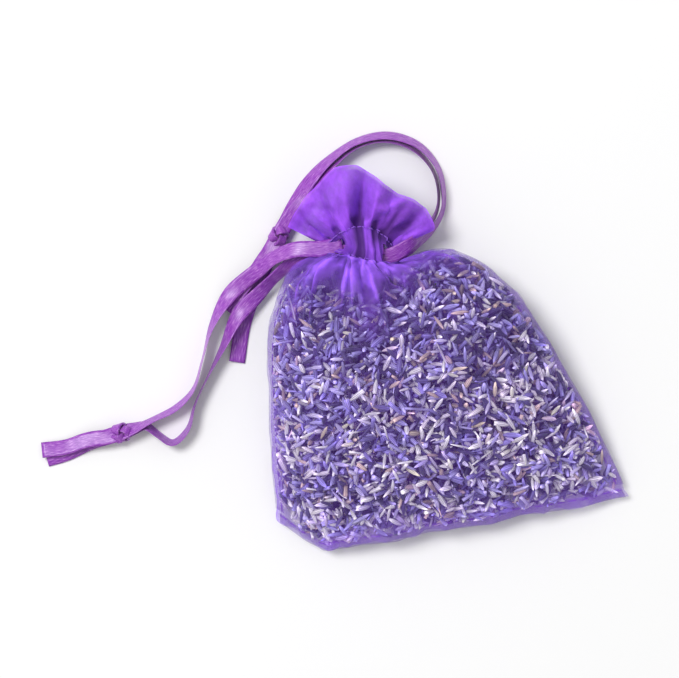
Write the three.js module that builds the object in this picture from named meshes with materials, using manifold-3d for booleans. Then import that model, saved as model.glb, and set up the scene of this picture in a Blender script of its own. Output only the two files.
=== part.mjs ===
// Lavender sachet: a drawstring pouch of organza, packed with dried lavender and lying on its back.
// Millimetres. +Z is up from the table, +Y runs from the bottom seam to the ruffle, +X is to the right.
// The pouch is drawn from the middle of its bottom seam, and the whole is centred on its base at the end.
import * as THREE from "three";
import Module from "manifold-3d";
import { mergeVertices } from "three/addons/utils/BufferGeometryUtils.js";

// Gaps and cloth
const SEAT = 0.3; // gap between pieces that touch
const CLOTH = 0.4; // thickness of a cloth solid
const SEAM_WIDTH = 2.2; // doubled cloth along the edges
const SEAM_THICKNESS = 0.9;
const SEAM_TO = 0.97; // share of the panel's length where the side seams end

// Outline of the filled pouch
const BOTTOM_SEAM = 58.8; // straight stretch of the bottom edge
const TUCK = new THREE.Vector2(8.1, 7.7); // the left corner is tucked in by this much
const BODY_LENGTH = 50; // bottom seam to the gathered neck
const CORNER_Z = 1.6; // height of the corners above the table
const BOTTOM_LIFT = 3; // how much higher the middle of the bottom seam lies
const LEFT_RISE = new THREE.Vector3(3, 27.3, 7); // run of the left side out of its corner
const RIGHT_RISE = new THREE.Vector3(-9, 32, 7);
const LEFT_SHOULDER = new THREE.Vector3(-14.5, 4, 0); // run of the left shoulder out of the neck
const RIGHT_SHOULDER = new THREE.Vector3(23, 11, 0);
const NECK_DROP = 15; // run of the middle of a panel below the neck
const FRONT_CROWN = 11; // rise of the front panel over the seams
const BACK_CROWN = 12; // drop of the back panel under the seams, where the table lets it
const FULL_AT = 0.5; // share of the panel's length where the crown is full
const FULLNESS = 0.55; // 0.5 gives elliptic sides, less gives steeper ones
const PLEATS = 6; // pleats in a panel below the neck
const PLEAT_DEPTH = 0.6;
const PLEATS_FROM = 0.55; // share of the panel's length where the pleats begin

// Gathered neck
const NECK_X = -13.7; // the pouch leans to its left
const NECK_Z = 8;
const NECK_WIDTH = 13;
const NECK_THICKNESS = 9;
const CASING_WALL = 0.9;
const CASING_WAIST = 0.4; // how far the ribbons draw the casing in
const CASING_PLEATS = 9;
const CASING_PLEAT_DEPTH = 0.3;
const STITCH = 0.5; // thread of the stitch rows

// Ruffle
const RUFFLE_LENGTH = 12;
const RUFFLE_WIDTH = 26.4;
const RUFFLE_THICKNESS = 10;
const RUFFLE_SHIFT = 2.2; // the ruffle lies to the right of the neck
const RUFFLE_DROOP = 7.8; // how much lower its side lobes end than its middle
const RUFFLE_FOLDS = 9;
const FOLD_DEPTH = 0.9;

// Drawstrings
const RIBBON_WIDTH = 3;
const RIBBON_THICKNESS = 0.45;
const RIBBON_PLAY = 0.35; // clearance of a ribbon in the casing
const STRAND_GAP = 0.3; // between the two strands of a drawstring
const PULL = 3.5; // how far a drawstring can still be pulled out
const PULL_COVER = 0.8; // ribbon left in the casing at full pull
const KNOT_LENGTH = 4.4;
const KNOT_WIDTH = 4.2;
const KNOT_HEIGHT = 2.8;
const RIBBON_STEP = 3; // length of one facet along a ribbon

// Lavender
const FILL_FROM = 0.055; // share of the panel's length where the fill begins
const FILL_TO = 0.84;
const FILL_INSET_BOTTOM = 0.9; // from a seam band to the fill, at the bottom seam
const FILL_INSET_TOP = 2.6; // and at the neck
const LUMP_SPACING = 5.3; // between neighbouring lumps of pressed buds
const LUMP_DEPTH = 1.6; // of the hollows between them
const LUMP_TURN = 0.5; // of their rows from the bottom seam, in radians
const LUMP_WANDER = 0.9; // how far the rows bend, in radians
const LUMP_BENDS = 3; // lumps along a row for each bend in it
const LUMP_RIM = 7; // the lumps fade out over one part in this many at the edge of the fill
const SLOPE_ALLOWANCE = 1.8; // gap for one unit of cloth and clearance on the sloping sides

// Facets
const PANEL_ACROSS = 24;
const PANEL_ALONG = 14;
const FILL_ACROSS = 38;
const FILL_ALONG = 28;
const RUFFLE_ACROSS = 36;
const RUFFLE_ALONG = 4;
const NECK_FACETS = 36;
const SEAM_FACETS = 14;

// Sizes that follow from the ones above
const NECK_A = NECK_WIDTH / 2;
const NECK_B = NECK_THICKNESS / 2;
const BAND = RIBBON_WIDTH + 2 * SEAT; // the stretch of casing that one ribbon runs in
const CASING_LENGTH = 2 * BAND;
const LOWER_STITCH_Y = BODY_LENGTH + SEAT + STITCH / 2;
const CASING_Y = BODY_LENGTH + STITCH + 2 * SEAT;
const UPPER_STITCH_Y = CASING_Y + CASING_LENGTH + SEAT + STITCH / 2;
const RUFFLE_Y = CASING_Y + CASING_LENGTH + STITCH + 2 * SEAT;
const LEFT_BAND_Y = CASING_Y + 1.5 * BAND; // the left ribbon runs in the upper half of the casing
const RIGHT_BAND_Y = CASING_Y + 0.5 * BAND;
const EDGE_GAP = SEAM_THICKNESS / 2 + SEAT + CLOTH; // from the seam's mid plane to a panel's outside
const STRAND_RISE = (STRAND_GAP + RIBBON_THICKNESS) / 2; // one strand lies over the other at the exit
const SLIT = STRAND_RISE + RIBBON_THICKNESS / 2 + RIBBON_PLAY; // half the height of a ribbon's way out
const CHANNEL = RIBBON_THICKNESS + 2 * RIBBON_PLAY;
const HEM_A = NECK_A - CASING_WALL - CHANNEL;
const HEM_B = NECK_B - CASING_WALL - CHANNEL;
const STRAND_INSIDE = PULL + PULL_COVER;

const ORGANZA = { color: 0x7d4fc4, roughness: 0.55, metalness: 0 };
const RUFFLE_CLOTH = { color: 0x8a3fd6, roughness: 0.5, metalness: 0 };
const SATIN = { color: 0x9a3fc8, roughness: 0.35, metalness: 0 };
const THREAD = { color: 0x6b3fae, roughness: 0.8, metalness: 0 };
const LAVENDER = { color: 0x6d6796, roughness: 0.9, metalness: 0 };

const wasm = await Module();
wasm.setup();

function piece(name, geometry, finish) {
  const mesh = new THREE.Mesh(geometry, new THREE.MeshStandardMaterial(finish));
  mesh.name = name;
  return mesh;
}

function smooth(from, to, value) {
  return THREE.MathUtils.smoothstep(value, from, to);
}

// A closed body from rows of points: each row is a ring, neighbouring rings are joined, ends are capped.
// With joined set, the last ring meets the first one instead.
function loft(rings, joined = false) {
  const count = rings[0].length;
  const positions = rings.flat().flatMap((p) => [p.x, p.y, p.z]);
  const faces = [];
  const spans = joined ? rings.length : rings.length - 1;
  for (let r = 0; r < spans; r += 1) {
    const here = r * count;
    const next = ((r + 1) % rings.length) * count;
    for (let k = 0; k < count; k += 1) {
      const k2 = (k + 1) % count;
      faces.push(here + k, here + k2, next + k2, here + k, next + k2, next + k);
    }
  }
  if (!joined) {
    capRing(positions, faces, rings[0], 0, true);
    capRing(positions, faces, rings[rings.length - 1], (rings.length - 1) * count, false);
  }
  return outward(positions, faces);
}

// Closes one end of a loft with a strip across the ring, which suits thin curved sections too.
function capRing(positions, faces, ring, start, reversed) {
  let low = 0;
  let high = ring.length - 1;
  while (high - low > 1) {
    const triangle = [start + low, start + high, start + low + 1];
    const second = [start + low + 1, start + high, start + high - 1];
    for (const corners of high - low > 2 ? [triangle, second] : [triangle]) {
      faces.push(...(reversed ? corners : corners.slice().reverse()));
    }
    low += 1;
    high -= 1;
  }
}

// Turns a closed body's faces outwards where its volume comes out negative.
function outward(positions, faces) {
  const at = (k) => new THREE.Vector3().fromArray(positions, 3 * k);
  let volume = 0;
  for (let f = 0; f < faces.length; f += 3) {
    volume += at(faces[f]).dot(at(faces[f + 1]).cross(at(faces[f + 2])));
  }
  const geometry = new THREE.BufferGeometry();
  geometry.setAttribute("position", new THREE.Float32BufferAttribute(positions, 3));
  geometry.setIndex(volume < 0 ? faces.reverse() : faces);
  geometry.computeVertexNormals();
  return geometry;
}

// A closed body between two grids of points with the same rim.
function between(topAt, bottomAt, across, along) {
  const positions = [];
  const faces = [];
  const columns = across + 1;
  const layer = columns * (along + 1);
  for (const pointAt of [topAt, bottomAt]) {
    for (let j = 0; j <= along; j += 1) {
      for (let i = 0; i <= across; i += 1) {
        positions.push(...pointAt(i / across, j / along).toArray());
      }
    }
  }
  for (let j = 0; j < along; j += 1) {
    for (let i = 0; i < across; i += 1) {
      const a = j * columns + i;
      const corners = [a, a + 1, a + columns + 1, a, a + columns + 1, a + columns];
      faces.push(...corners);
      faces.push(...corners.map((k) => k + layer).reverse());
    }
  }
  const rim = [];
  for (let i = 0; i < across; i += 1) {
    rim.push(i);
  }
  for (let j = 0; j < along; j += 1) {
    rim.push(j * columns + across);
  }
  for (let i = across; i > 0; i -= 1) {
    rim.push(along * columns + i);
  }
  for (let j = along; j > 0; j -= 1) {
    rim.push(j * columns);
  }
  rim.forEach((a, k) => {
    const b = rim[(k + 1) % rim.length];
    faces.push(b, a, a + layer, b, a + layer, b + layer);
  });
  return outward(positions, faces);
}

// A cloth solid: a surface, and the same surface moved in by the cloth's thickness along its normal.
function cloth(surface, inward, across, along) {
  const small = 1e-3;
  const inner = (s, t) => {
    const du = surface(s + small, t).sub(surface(s - small, t));
    const dv = surface(s, t + small).sub(surface(s, t - small));
    return surface(s, t).addScaledVector(du.cross(dv).normalize(), inward * CLOTH);
  };
  return between(surface, inner, across, along);
}

function toManifold(geometry) {
  const bare = geometry.clone();
  bare.deleteAttribute("normal");
  bare.deleteAttribute("uv");
  const merged = mergeVertices(bare, 1e-5);
  return new wasm.Manifold(
    new wasm.Mesh({
      numProp: 3,
      vertProperties: new Float32Array(merged.attributes.position.array),
      triVerts: new Uint32Array(merged.index.array),
    }),
  );
}

function fromManifold(solid) {
  const mesh = solid.getMesh();
  const geometry = new THREE.BufferGeometry();
  geometry.setAttribute("position", new THREE.Float32BufferAttribute(mesh.vertProperties, 3));
  geometry.setIndex(Array.from(mesh.triVerts));
  geometry.computeVertexNormals();
  return geometry;
}

// Middle surface of the pouch: u runs from the left seam (-1) to the right one (1), v from the bottom seam
// (0) to the neck (1). Each column is one curve from the bottom seam into the neck, and they fan out there.
const tuckLength = TUCK.length();
const bottomLength = tuckLength + BOTTOM_SEAM;
const leftCorner = new THREE.Vector3(-BOTTOM_SEAM / 2 - TUCK.x, TUCK.y, CORNER_Z);
const tuckEnd = new THREE.Vector3(-BOTTOM_SEAM / 2, 0, CORNER_Z);

function bottomPoint(u) {
  const run = ((u + 1) / 2) * bottomLength;
  const point = leftCorner.clone().lerp(tuckEnd, Math.min(run / tuckLength, 1));
  point.x += Math.max(run - tuckLength, 0);
  point.z += BOTTOM_LIFT * (1 - u * u);
  return point;
}

function columnCurve(u) {
  const fan = (Math.PI / 2) * u;
  const side = (u + 1) / 2;
  const start = bottomPoint(u);
  const end = new THREE.Vector3(NECK_X + NECK_A * Math.sin(fan), BODY_LENGTH, NECK_Z);
  const rise = LEFT_RISE.clone().lerp(RIGHT_RISE, side);
  const shoulder = (u < 0 ? LEFT_SHOULDER : RIGHT_SHOULDER).clone().multiplyScalar(Math.abs(Math.sin(fan)));
  shoulder.y -= NECK_DROP * Math.cos(fan);
  return new THREE.CubicBezierCurve3(start, start.clone().add(rise), end.clone().add(shoulder), end);
}

function middle(u, v) {
  return columnCurve(u).getPoint(v);
}

// How far a panel stands off the middle surface, from the crown in the body to the half round of the neck.
function swell(u, v, crown) {
  const acrossShape = Math.max(1 - u * u, 0) ** FULLNESS;
  const low = 1 - Math.min(Math.max(v, 0) / FULL_AT, 1);
  const alongShape = (1 - low * low) ** FULLNESS;
  const neck = smooth(FULL_AT, 1, v);
  return (1 - neck) * crown * acrossShape * alongShape + neck * NECK_B * Math.cos((Math.PI / 2) * u);
}

function pleat(u, v) {
  const edge = 1 - u ** 8;
  return PLEAT_DEPTH * edge * smooth(PLEATS_FROM, 1, v) * Math.cos(PLEATS * Math.PI * (u + 1));
}

function frontSurface(u, v) {
  const point = middle(u, v);
  point.z += EDGE_GAP + swell(u, v, FRONT_CROWN) + pleat(u, v);
  return point;
}

function backSurface(u, v) {
  const point = middle(u, v);
  point.z = Math.max(point.z - EDGE_GAP - swell(u, v, BACK_CROWN) - pleat(u, v), 0);
  return point;
}

const sideways = (s) => 2 * s - 1;
const clampSide = (s) => THREE.MathUtils.clamp(sideways(s), -1, 1);
const clampLength = (t) => THREE.MathUtils.clamp(t, 0, 1);

function panels() {
  const front = (s, t) => frontSurface(clampSide(s), clampLength(t));
  const back = (s, t) => backSurface(clampSide(s), clampLength(t));
  return [
    piece("front_panel", cloth(front, -1, PANEL_ACROSS, PANEL_ALONG), ORGANZA),
    piece("back_panel", cloth(back, 1, PANEL_ACROSS, PANEL_ALONG), ORGANZA),
  ];
}

// Depth of the hollows between the lumps that the buds make, at a place in the fill.
function lumps(s, t, point) {
  const wave = (2 * Math.PI) / (LUMP_SPACING * Math.SQRT2);
  const across = wave * (point.x * Math.cos(LUMP_TURN) + point.y * Math.sin(LUMP_TURN));
  const along = wave * (point.y * Math.cos(LUMP_TURN) - point.x * Math.sin(LUMP_TURN));
  const hollow = 0.5 - 0.5 * Math.sin(across + LUMP_WANDER * Math.sin(along / LUMP_BENDS)) * Math.sin(along);
  return LUMP_DEPTH * hollow * Math.min(1, LUMP_RIM * Math.min(s, 1 - s, t, 1 - t));
}

// The lavender fills the pouch as one crowned, lumpy heap, clear of both panels.
function lavender() {
  const clear = (CLOTH + SEAT) * SLOPE_ALLOWANCE;
  const place = (s, t) => {
    const v = FILL_FROM + (FILL_TO - FILL_FROM) * t;
    const halfWidth = middle(1, v).distanceTo(middle(-1, v)) / 2;
    const inset = SEAM_WIDTH + THREE.MathUtils.lerp(FILL_INSET_BOTTOM, FILL_INSET_TOP, v);
    return [(1 - inset / halfWidth) * sideways(s), v];
  };
  const top = (s, t) => {
    const [u, v] = place(s, t);
    const point = middle(u, v);
    point.z += EDGE_GAP + swell(u, v, FRONT_CROWN) - clear - PLEAT_DEPTH * smooth(PLEATS_FROM, 1, v);
    point.z -= lumps(s, t, point);
    return point;
  };
  const bottom = (s, t) => {
    const [u, v] = place(s, t);
    const point = middle(u, v);
    const floor = point.z - EDGE_GAP - swell(u, v, BACK_CROWN) + PLEAT_DEPTH * smooth(PLEATS_FROM, 1, v);
    point.z = Math.max(floor, 0) + clear + lumps(s, t, point);
    return point;
  };
  return piece("lavender_fill", between(top, bottom, FILL_ACROSS, FILL_ALONG), LAVENDER);
}

// A seam band: doubled cloth that runs just inside an edge of the pouch, between the two panels.
function seam(name, edge, from, to, inwardTurn) {
  const rings = [];
  const small = 1e-3;
  for (let k = 0; k <= SEAM_FACETS; k += 1) {
    const t = from + ((to - from) * k) / SEAM_FACETS;
    const along = edge(t + small).sub(edge(t - small)).setZ(0).normalize();
    const inward = new THREE.Vector3(-along.y, along.x, 0).multiplyScalar(inwardTurn);
    const outer = edge(t).addScaledVector(inward, SEAT);
    const inner = edge(t).addScaledVector(inward, SEAT + SEAM_WIDTH);
    const half = new THREE.Vector3(0, 0, SEAM_THICKNESS / 2);
    rings.push([
      outer.clone().sub(half),
      inner.clone().sub(half),
      inner.clone().add(half),
      outer.clone().add(half),
    ]);
  }
  return piece(name, loft(rings), ORGANZA);
}

function seams() {
  const leftEdge = (v) => middle(-1, v);
  const rightEdge = (v) => middle(1, v);
  const clearOfBottom = SEAM_WIDTH + 3 * SEAT;
  const leftFrom = clearOfBottom / columnCurve(-1).getLength();
  const rightFrom = clearOfBottom / columnCurve(1).getLength();
  const corner = 1 - (2 * SEAT) / bottomLength;
  return [
    seam("left_side_seam", leftEdge, leftFrom, SEAM_TO, -1),
    seam("right_side_seam", rightEdge, rightFrom, SEAM_TO, 1),
    seam("bottom_seam", bottomPoint, -corner, corner, 1),
  ];
}

function neckPoint(angle, a, b, y) {
  return new THREE.Vector3(NECK_X + a * Math.cos(angle), y, NECK_Z + b * Math.sin(angle));
}

// A row of stitches is a ring of thread round the gathered neck.
function stitchRow(name, y) {
  const sides = 5;
  const rings = [];
  for (let k = 0; k < NECK_FACETS; k += 1) {
    const angle = (2 * Math.PI * k) / NECK_FACETS;
    const ring = [];
    for (let s = 0; s < sides; s += 1) {
      const turn = (2 * Math.PI * s) / sides;
      const out = (STITCH / 2) * Math.cos(turn) - STITCH;
      ring.push(neckPoint(angle, NECK_A + out, NECK_B + out, y + (STITCH / 2) * Math.sin(turn)));
    }
    rings.push(ring);
  }
  return piece(name, loft(rings, true), THREAD);
}

// Half of the casing: the outer cloth over the ribbons, pleated and drawn in at its waist. The two halves
// leave a slit at each side of the neck, where the ribbons come out.
function casingHalf(name, upper) {
  const steps = 4;
  const facets = NECK_FACETS;
  const innerA = NECK_A - CASING_WALL;
  const innerB = NECK_B - CASING_WALL;
  const first = Math.asin(SLIT / innerB);
  const turned = upper ? 0 : Math.PI;
  const rings = [];
  for (let k = 0; k <= steps; k += 1) {
    const t = k / steps;
    const y = CASING_Y + CASING_LENGTH * t;
    const waist = CASING_WAIST * Math.sin(Math.PI * t);
    const ring = [];
    for (let i = 0; i <= facets; i += 1) {
      const share = i / facets;
      const angle = first + (Math.PI - 2 * first) * share;
      const fold = CASING_PLEAT_DEPTH * (Math.cos(2 * Math.PI * CASING_PLEATS * share) - 1) * 0.5;
      const out = fold - waist;
      ring.push(neckPoint(angle + turned, NECK_A + out, NECK_B + out, y));
    }
    for (let i = facets; i >= 0; i -= 1) {
      const angle = first + ((Math.PI - 2 * first) * i) / facets;
      ring.push(neckPoint(angle + turned, innerA, innerB, y));
    }
    rings.push(ring);
  }
  return piece(name, loft(rings), ORGANZA);
}

// The turned-in hem is bunched inside the ribbons. Each pair of strands lies in a fold of it.
function gatheredHem() {
  const rings = [CASING_Y, CASING_Y + CASING_LENGTH].map((y) => {
    const ring = [];
    for (let k = 0; k < NECK_FACETS; k += 1) {
      const angle = (2 * Math.PI * k) / NECK_FACETS;
      const fold = CASING_PLEAT_DEPTH * (Math.cos(CASING_PLEATS * angle) - 1) * 0.5;
      ring.push(neckPoint(angle, HEM_A + fold, HEM_B + fold, y));
    }
    return ring;
  });
  const inside = STRAND_INSIDE + SEAT;
  let solid = toManifold(loft(rings));
  for (const [side, y] of [[-1, LEFT_BAND_Y], [1, RIGHT_BAND_Y]]) {
    const fold = new THREE.BoxGeometry(inside, RIBBON_WIDTH + SEAT, 2 * SLIT);
    fold.translate(NECK_X + side * (NECK_A - inside / 2), y, NECK_Z);
    solid = solid.subtract(toManifold(fold));
  }
  return piece("gathered_hem", fromManifold(solid), ORGANZA);
}

// The stretch of a drawstring that runs round the neck inside the casing, open at the side where it leaves.
function neckLoop(name, y, exitAngle) {
  const a = HEM_A + RIBBON_PLAY;
  const b = HEM_B + RIBBON_PLAY;
  const clear = SLIT + RIBBON_THICKNESS;
  const first = Math.asin(clear / (b + RIBBON_THICKNESS));
  const half = RIBBON_WIDTH / 2;
  const rings = [];
  for (let k = 0; k <= NECK_FACETS; k += 1) {
    const angle = exitAngle + first + ((2 * Math.PI - 2 * first) * k) / NECK_FACETS;
    const outerA = a + RIBBON_THICKNESS;
    const outerB = b + RIBBON_THICKNESS;
    rings.push([
      neckPoint(angle, a, b, y - half),
      neckPoint(angle, outerA, outerB, y - half),
      neckPoint(angle, outerA, outerB, y + half),
      neckPoint(angle, a, b, y + half),
    ]);
  }
  return piece(name, loft(rings), SATIN);
}

// Half of the ruffle: the header of the pouch, fanned out above the neck in soft folds. Its side lobes turn
// outwards and end lower than its middle.
function ruffleHalf(name, upper) {
  const gap = Math.asin(SEAT / NECK_B);
  const turned = upper ? 1 : -1;
  const surface = (s, t) => {
    const share = THREE.MathUtils.clamp(s, 0, 1);
    const up = THREE.MathUtils.clamp(t, 0, 1);
    const angle = gap + (Math.PI - 2 * gap) * share;
    const spread = Math.sin((Math.PI / 2) * up);
    const side = Math.cos(angle) ** 2;
    const fold = FOLD_DEPTH * spread * Math.cos(RUFFLE_FOLDS * Math.PI * share) * Math.sin(Math.PI * share);
    const a = THREE.MathUtils.lerp(NECK_A - STITCH, RUFFLE_WIDTH / 2, spread);
    const b = THREE.MathUtils.lerp(NECK_B - STITCH, RUFFLE_THICKNESS / 2, spread) + fold;
    return new THREE.Vector3(
      NECK_X + RUFFLE_SHIFT * spread + a * Math.cos(angle),
      RUFFLE_Y + (RUFFLE_LENGTH - RUFFLE_DROOP * side) * up,
      NECK_Z + turned * b * Math.sin(angle),
    );
  };
  return piece(name, cloth(surface, turned, RUFFLE_ACROSS, RUFFLE_ALONG), RUFFLE_CLOTH);
}

// A flat ribbon along a curve, lying face up, with its long edges eased.
function ribbon(name, points) {
  const eased = RIBBON_THICKNESS / 4;
  const halfT = RIBBON_THICKNESS / 2;
  const halfW = RIBBON_WIDTH / 2;
  const section = [
    [-halfW, -halfT + eased],
    [-halfW + eased, -halfT],
    [halfW - eased, -halfT],
    [halfW, -halfT + eased],
    [halfW, halfT - eased],
    [halfW - eased, halfT],
    [-halfW + eased, halfT],
    [-halfW, halfT - eased],
  ];
  const path = new THREE.CatmullRomCurve3(points, false, "centripetal");
  const steps = Math.round(path.getLength() / RIBBON_STEP);
  const up = new THREE.Vector3(0, 0, 1);
  const rings = path.getSpacedPoints(steps).map((centre, k) => {
    const along = path.getTangentAt(k / steps);
    const across = along.clone().cross(up).normalize();
    const face = across.clone().cross(along);
    return section.map(([w, t]) => centre.clone().addScaledVector(across, w).addScaledVector(face, t));
  });
  return piece(name, loft(rings), SATIN);
}

// An overhand knot drawn tight: a short barrel with two turns of ribbon standing proud on it.
function knot(name, centre, heading) {
  const around = 10;
  const along = [-1, -0.8, -0.45, 0, 0.45, 0.8, 1];
  const girth = [0.55, 0.9, 1, 0.8, 1, 0.9, 0.55];
  const forward = heading.clone().normalize();
  const sideAxis = new THREE.Vector3(-forward.y, forward.x, 0);
  const rings = along.map((share, r) => {
    const ring = [];
    for (let k = 0; k < around; k += 1) {
      const angle = (2 * Math.PI * k) / around;
      const point = centre.clone().addScaledVector(forward, (share * KNOT_LENGTH) / 2);
      point.addScaledVector(sideAxis, (girth[r] * KNOT_WIDTH * Math.cos(angle)) / 2);
      point.z += (girth[r] * KNOT_HEIGHT * Math.sin(angle)) / 2;
      ring.push(point);
    }
    return ring;
  });
  return piece(name, loft(rings), SATIN);
}

// A drawstring outside the casing: two strands, the knot that joins them and two cut ends. The first points
// of a strand lie straight in the casing, and its last one meets the knot.
function drawstring(side, plan) {
  const out = side === "left" ? -1 : 1;
  const exitY = side === "left" ? LEFT_BAND_Y : RIGHT_BAND_Y;
  const exitX = NECK_X + out * NECK_A;
  const heading = plan.heading.clone().normalize();
  const reach = KNOT_LENGTH / 2 + SEAT;
  const group = new THREE.Group();
  for (const [letter, lift] of [["a", STRAND_RISE], ["b", -STRAND_RISE]]) {
    const start = [STRAND_INSIDE, STRAND_INSIDE / 2, 0].map(
      (depth) => new THREE.Vector3(exitX - out * depth, exitY, NECK_Z + lift),
    );
    const level = new THREE.Vector3(0, 0, lift);
    const meet = plan.knot.clone().addScaledVector(heading, -reach).add(level);
    const leave = plan.knot.clone().addScaledVector(heading, reach).add(level);
    group.add(ribbon(`${side}_strand_${letter}`, [...start, ...plan.strands[letter], meet]));
    group.add(ribbon(`${side}_end_${letter}`, [leave, ...plan.ends[letter]]));
  }
  group.add(knot(`${side}_knot`, plan.knot, heading));
  return group;
}

const point3 = (x, y, z) => new THREE.Vector3(x, y, z);

// Left drawstring: down over the table to the left, its strands cross once and meet in the knot.
const LEFT_PLAN = {
  knot: point3(-63.3, 29.2, 1.7),
  heading: point3(-1, -0.12, 0),
  strands: {
    a: [
      point3(-24.5, 57.2, 8),
      point3(-28.6, 56.4, 5.4),
      point3(-33, 54.4, 3),
      point3(-38.4, 51.2, 2.3),
      point3(-42.8, 46, 2.2),
      point3(-45.8, 39.8, 2.5),
      point3(-48.4, 34.8, 2.4),
      point3(-52.2, 32, 1.7),
      point3(-56.8, 30.6, 1.9),
    ],
    b: [
      point3(-24.2, 55, 6.6),
      point3(-28.6, 52.6, 4),
      point3(-33.2, 50.2, 2.5),
      point3(-37.6, 47, 2.3),
      point3(-41.4, 41.8, 2.1),
      point3(-45.2, 36.8, 1.1),
      point3(-48.6, 32, 0.8),
      point3(-50.8, 27.6, 0.6),
      point3(-54, 25.6, 0.6),
      point3(-56.4, 27.6, 0.8),
      point3(-58.4, 29.6, 1.2),
    ],
  },
  ends: {
    a: [point3(-69.8, 29, 1.8), point3(-74, 28.4, 1.2), point3(-78.6, 28.6, 1)],
    b: [point3(-69.4, 27.8, 1), point3(-73.4, 26, 0.6), point3(-77.6, 25, 0.5)],
  },
};

// Right drawstring: out to the right, round the top of the ruffle and under the left one. Its strands lie on
// each other, and its ends run beside the left drawstring.
const RIGHT_PLAN = {
  knot: point3(-27.4, 60.4, 1.7),
  heading: point3(-0.64, -0.77, 0),
  strands: {
    a: [
      point3(-3.6, 54.2, 8),
      point3(0, 56.6, 6),
      point3(2.8, 59.8, 3.2),
      point3(3.8, 63.4, 1.6),
      point3(3.4, 67.6, 1.25),
      point3(0.8, 71.8, 1.25),
      point3(-3.8, 74.4, 1.25),
      point3(-9.4, 74.4, 1.25),
      point3(-14.8, 72, 1.25),
      point3(-19.4, 68.6, 1.3),
      point3(-23, 65.2, 1.8),
    ],
    b: [
      point3(-3.2, 54, 6.4),
      point3(0.8, 56, 3.8),
      point3(3.8, 59.4, 1.4),
      point3(4.8, 63.4, 0.6),
      point3(4.4, 68, 0.55),
      point3(1.6, 72.6, 0.55),
      point3(-3.6, 75.4, 0.55),
      point3(-9.6, 75.4, 0.55),
      point3(-15.2, 73, 0.55),
      point3(-19.8, 69.6, 0.6),
      point3(-23.2, 65.8, 0.9),
    ],
  },
  ends: {
    a: [point3(-32, 55.6, 1.6), point3(-35.8, 52, 1.3), point3(-39.6, 48.4, 1.2)],
    b: [point3(-31, 55.4, 0.8), point3(-34, 50.6, 0.55), point3(-37, 45.2, 0.55), point3(-39.4, 38.4, 0.55)],
  },
};

const pouch = new THREE.Group();
pouch.add(...panels(), lavender(), ...seams());
pouch.add(stitchRow("lower_stitch_row", LOWER_STITCH_Y), stitchRow("upper_stitch_row", UPPER_STITCH_Y));
pouch.add(casingHalf("front_casing", true), casingHalf("back_casing", false), gatheredHem());
pouch.add(neckLoop("left_drawstring_loop", LEFT_BAND_Y, Math.PI));
pouch.add(neckLoop("right_drawstring_loop", RIGHT_BAND_Y, 0));
pouch.add(ruffleHalf("front_ruffle", true), ruffleHalf("back_ruffle", false));

const sachet = new THREE.Group();
const base = new THREE.Box3().setFromObject(pouch);
sachet.add(pouch, drawstring("left", LEFT_PLAN), drawstring("right", RIGHT_PLAN));
sachet.position.set(-(base.min.x + base.max.x) / 2, -(base.min.y + base.max.y) / 2, -base.min.z);
sachet.updateMatrixWorld(true);

export default sachet;
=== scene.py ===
import math

import bmesh
import bpy
import numpy as np
from mathutils import Matrix, Vector
from mathutils.bvhtree import BVHTree
from mathutils.kdtree import KDTree


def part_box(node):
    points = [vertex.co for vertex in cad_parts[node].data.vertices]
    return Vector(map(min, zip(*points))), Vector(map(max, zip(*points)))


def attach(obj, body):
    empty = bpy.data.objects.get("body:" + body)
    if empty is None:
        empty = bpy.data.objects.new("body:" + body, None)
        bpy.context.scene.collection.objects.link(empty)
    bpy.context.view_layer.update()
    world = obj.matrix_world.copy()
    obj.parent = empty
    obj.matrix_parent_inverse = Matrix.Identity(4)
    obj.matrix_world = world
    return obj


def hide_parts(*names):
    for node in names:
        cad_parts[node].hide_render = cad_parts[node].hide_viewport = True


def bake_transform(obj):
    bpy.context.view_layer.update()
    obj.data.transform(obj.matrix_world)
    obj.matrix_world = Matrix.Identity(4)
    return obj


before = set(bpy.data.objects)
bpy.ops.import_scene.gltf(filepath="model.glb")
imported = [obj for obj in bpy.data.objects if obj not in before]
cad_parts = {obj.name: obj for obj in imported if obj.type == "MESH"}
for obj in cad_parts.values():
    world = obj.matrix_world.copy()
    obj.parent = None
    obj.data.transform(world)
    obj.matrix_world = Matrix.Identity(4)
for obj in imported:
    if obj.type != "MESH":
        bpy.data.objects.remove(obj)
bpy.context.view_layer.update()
scene = bpy.context.scene
scene.view_settings.view_transform = "Standard"
mm = 0.001

# Table, light and camera. The sachet lies on a plain white table under one large soft lamp. The camera looks
# straight down on it, turned so that the pouch leans in the picture.
view_centre = Vector((-15.5, 3.6, 8.0)) * mm
view_width = 127 * mm
view_turn = math.radians(-10.25)
camera_height = 0.75
table_size = 2.0
table_white = 0.95
sky_level = 0.52
lamp_place = Vector((-0.55, 0.5, 1.15))
lamp_size = 0.55
lamp_watts = 12.5


def new_material(name):
    """A material with nodes, and with a shader as yet plain."""
    material = bpy.data.materials.new(name)
    material.use_nodes = True
    return material


def fill_inputs(material, node, values):
    """Sets a node's inputs to values, or links them to other nodes' outputs."""
    for key, value in values.items():
        if isinstance(value, bpy.types.NodeSocket):
            material.node_tree.links.new(value, node.inputs[key])
        else:
            node.inputs[key].default_value = value


def surface(material, values):
    """Sets the material's shader."""
    fill_inputs(material, material.node_tree.nodes["Principled BSDF"], values)


def finished(form, name):
    """A bmesh as a mesh of that name."""
    mesh = bpy.data.meshes.new(name)
    form.to_mesh(mesh)
    form.free()
    return mesh


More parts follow.
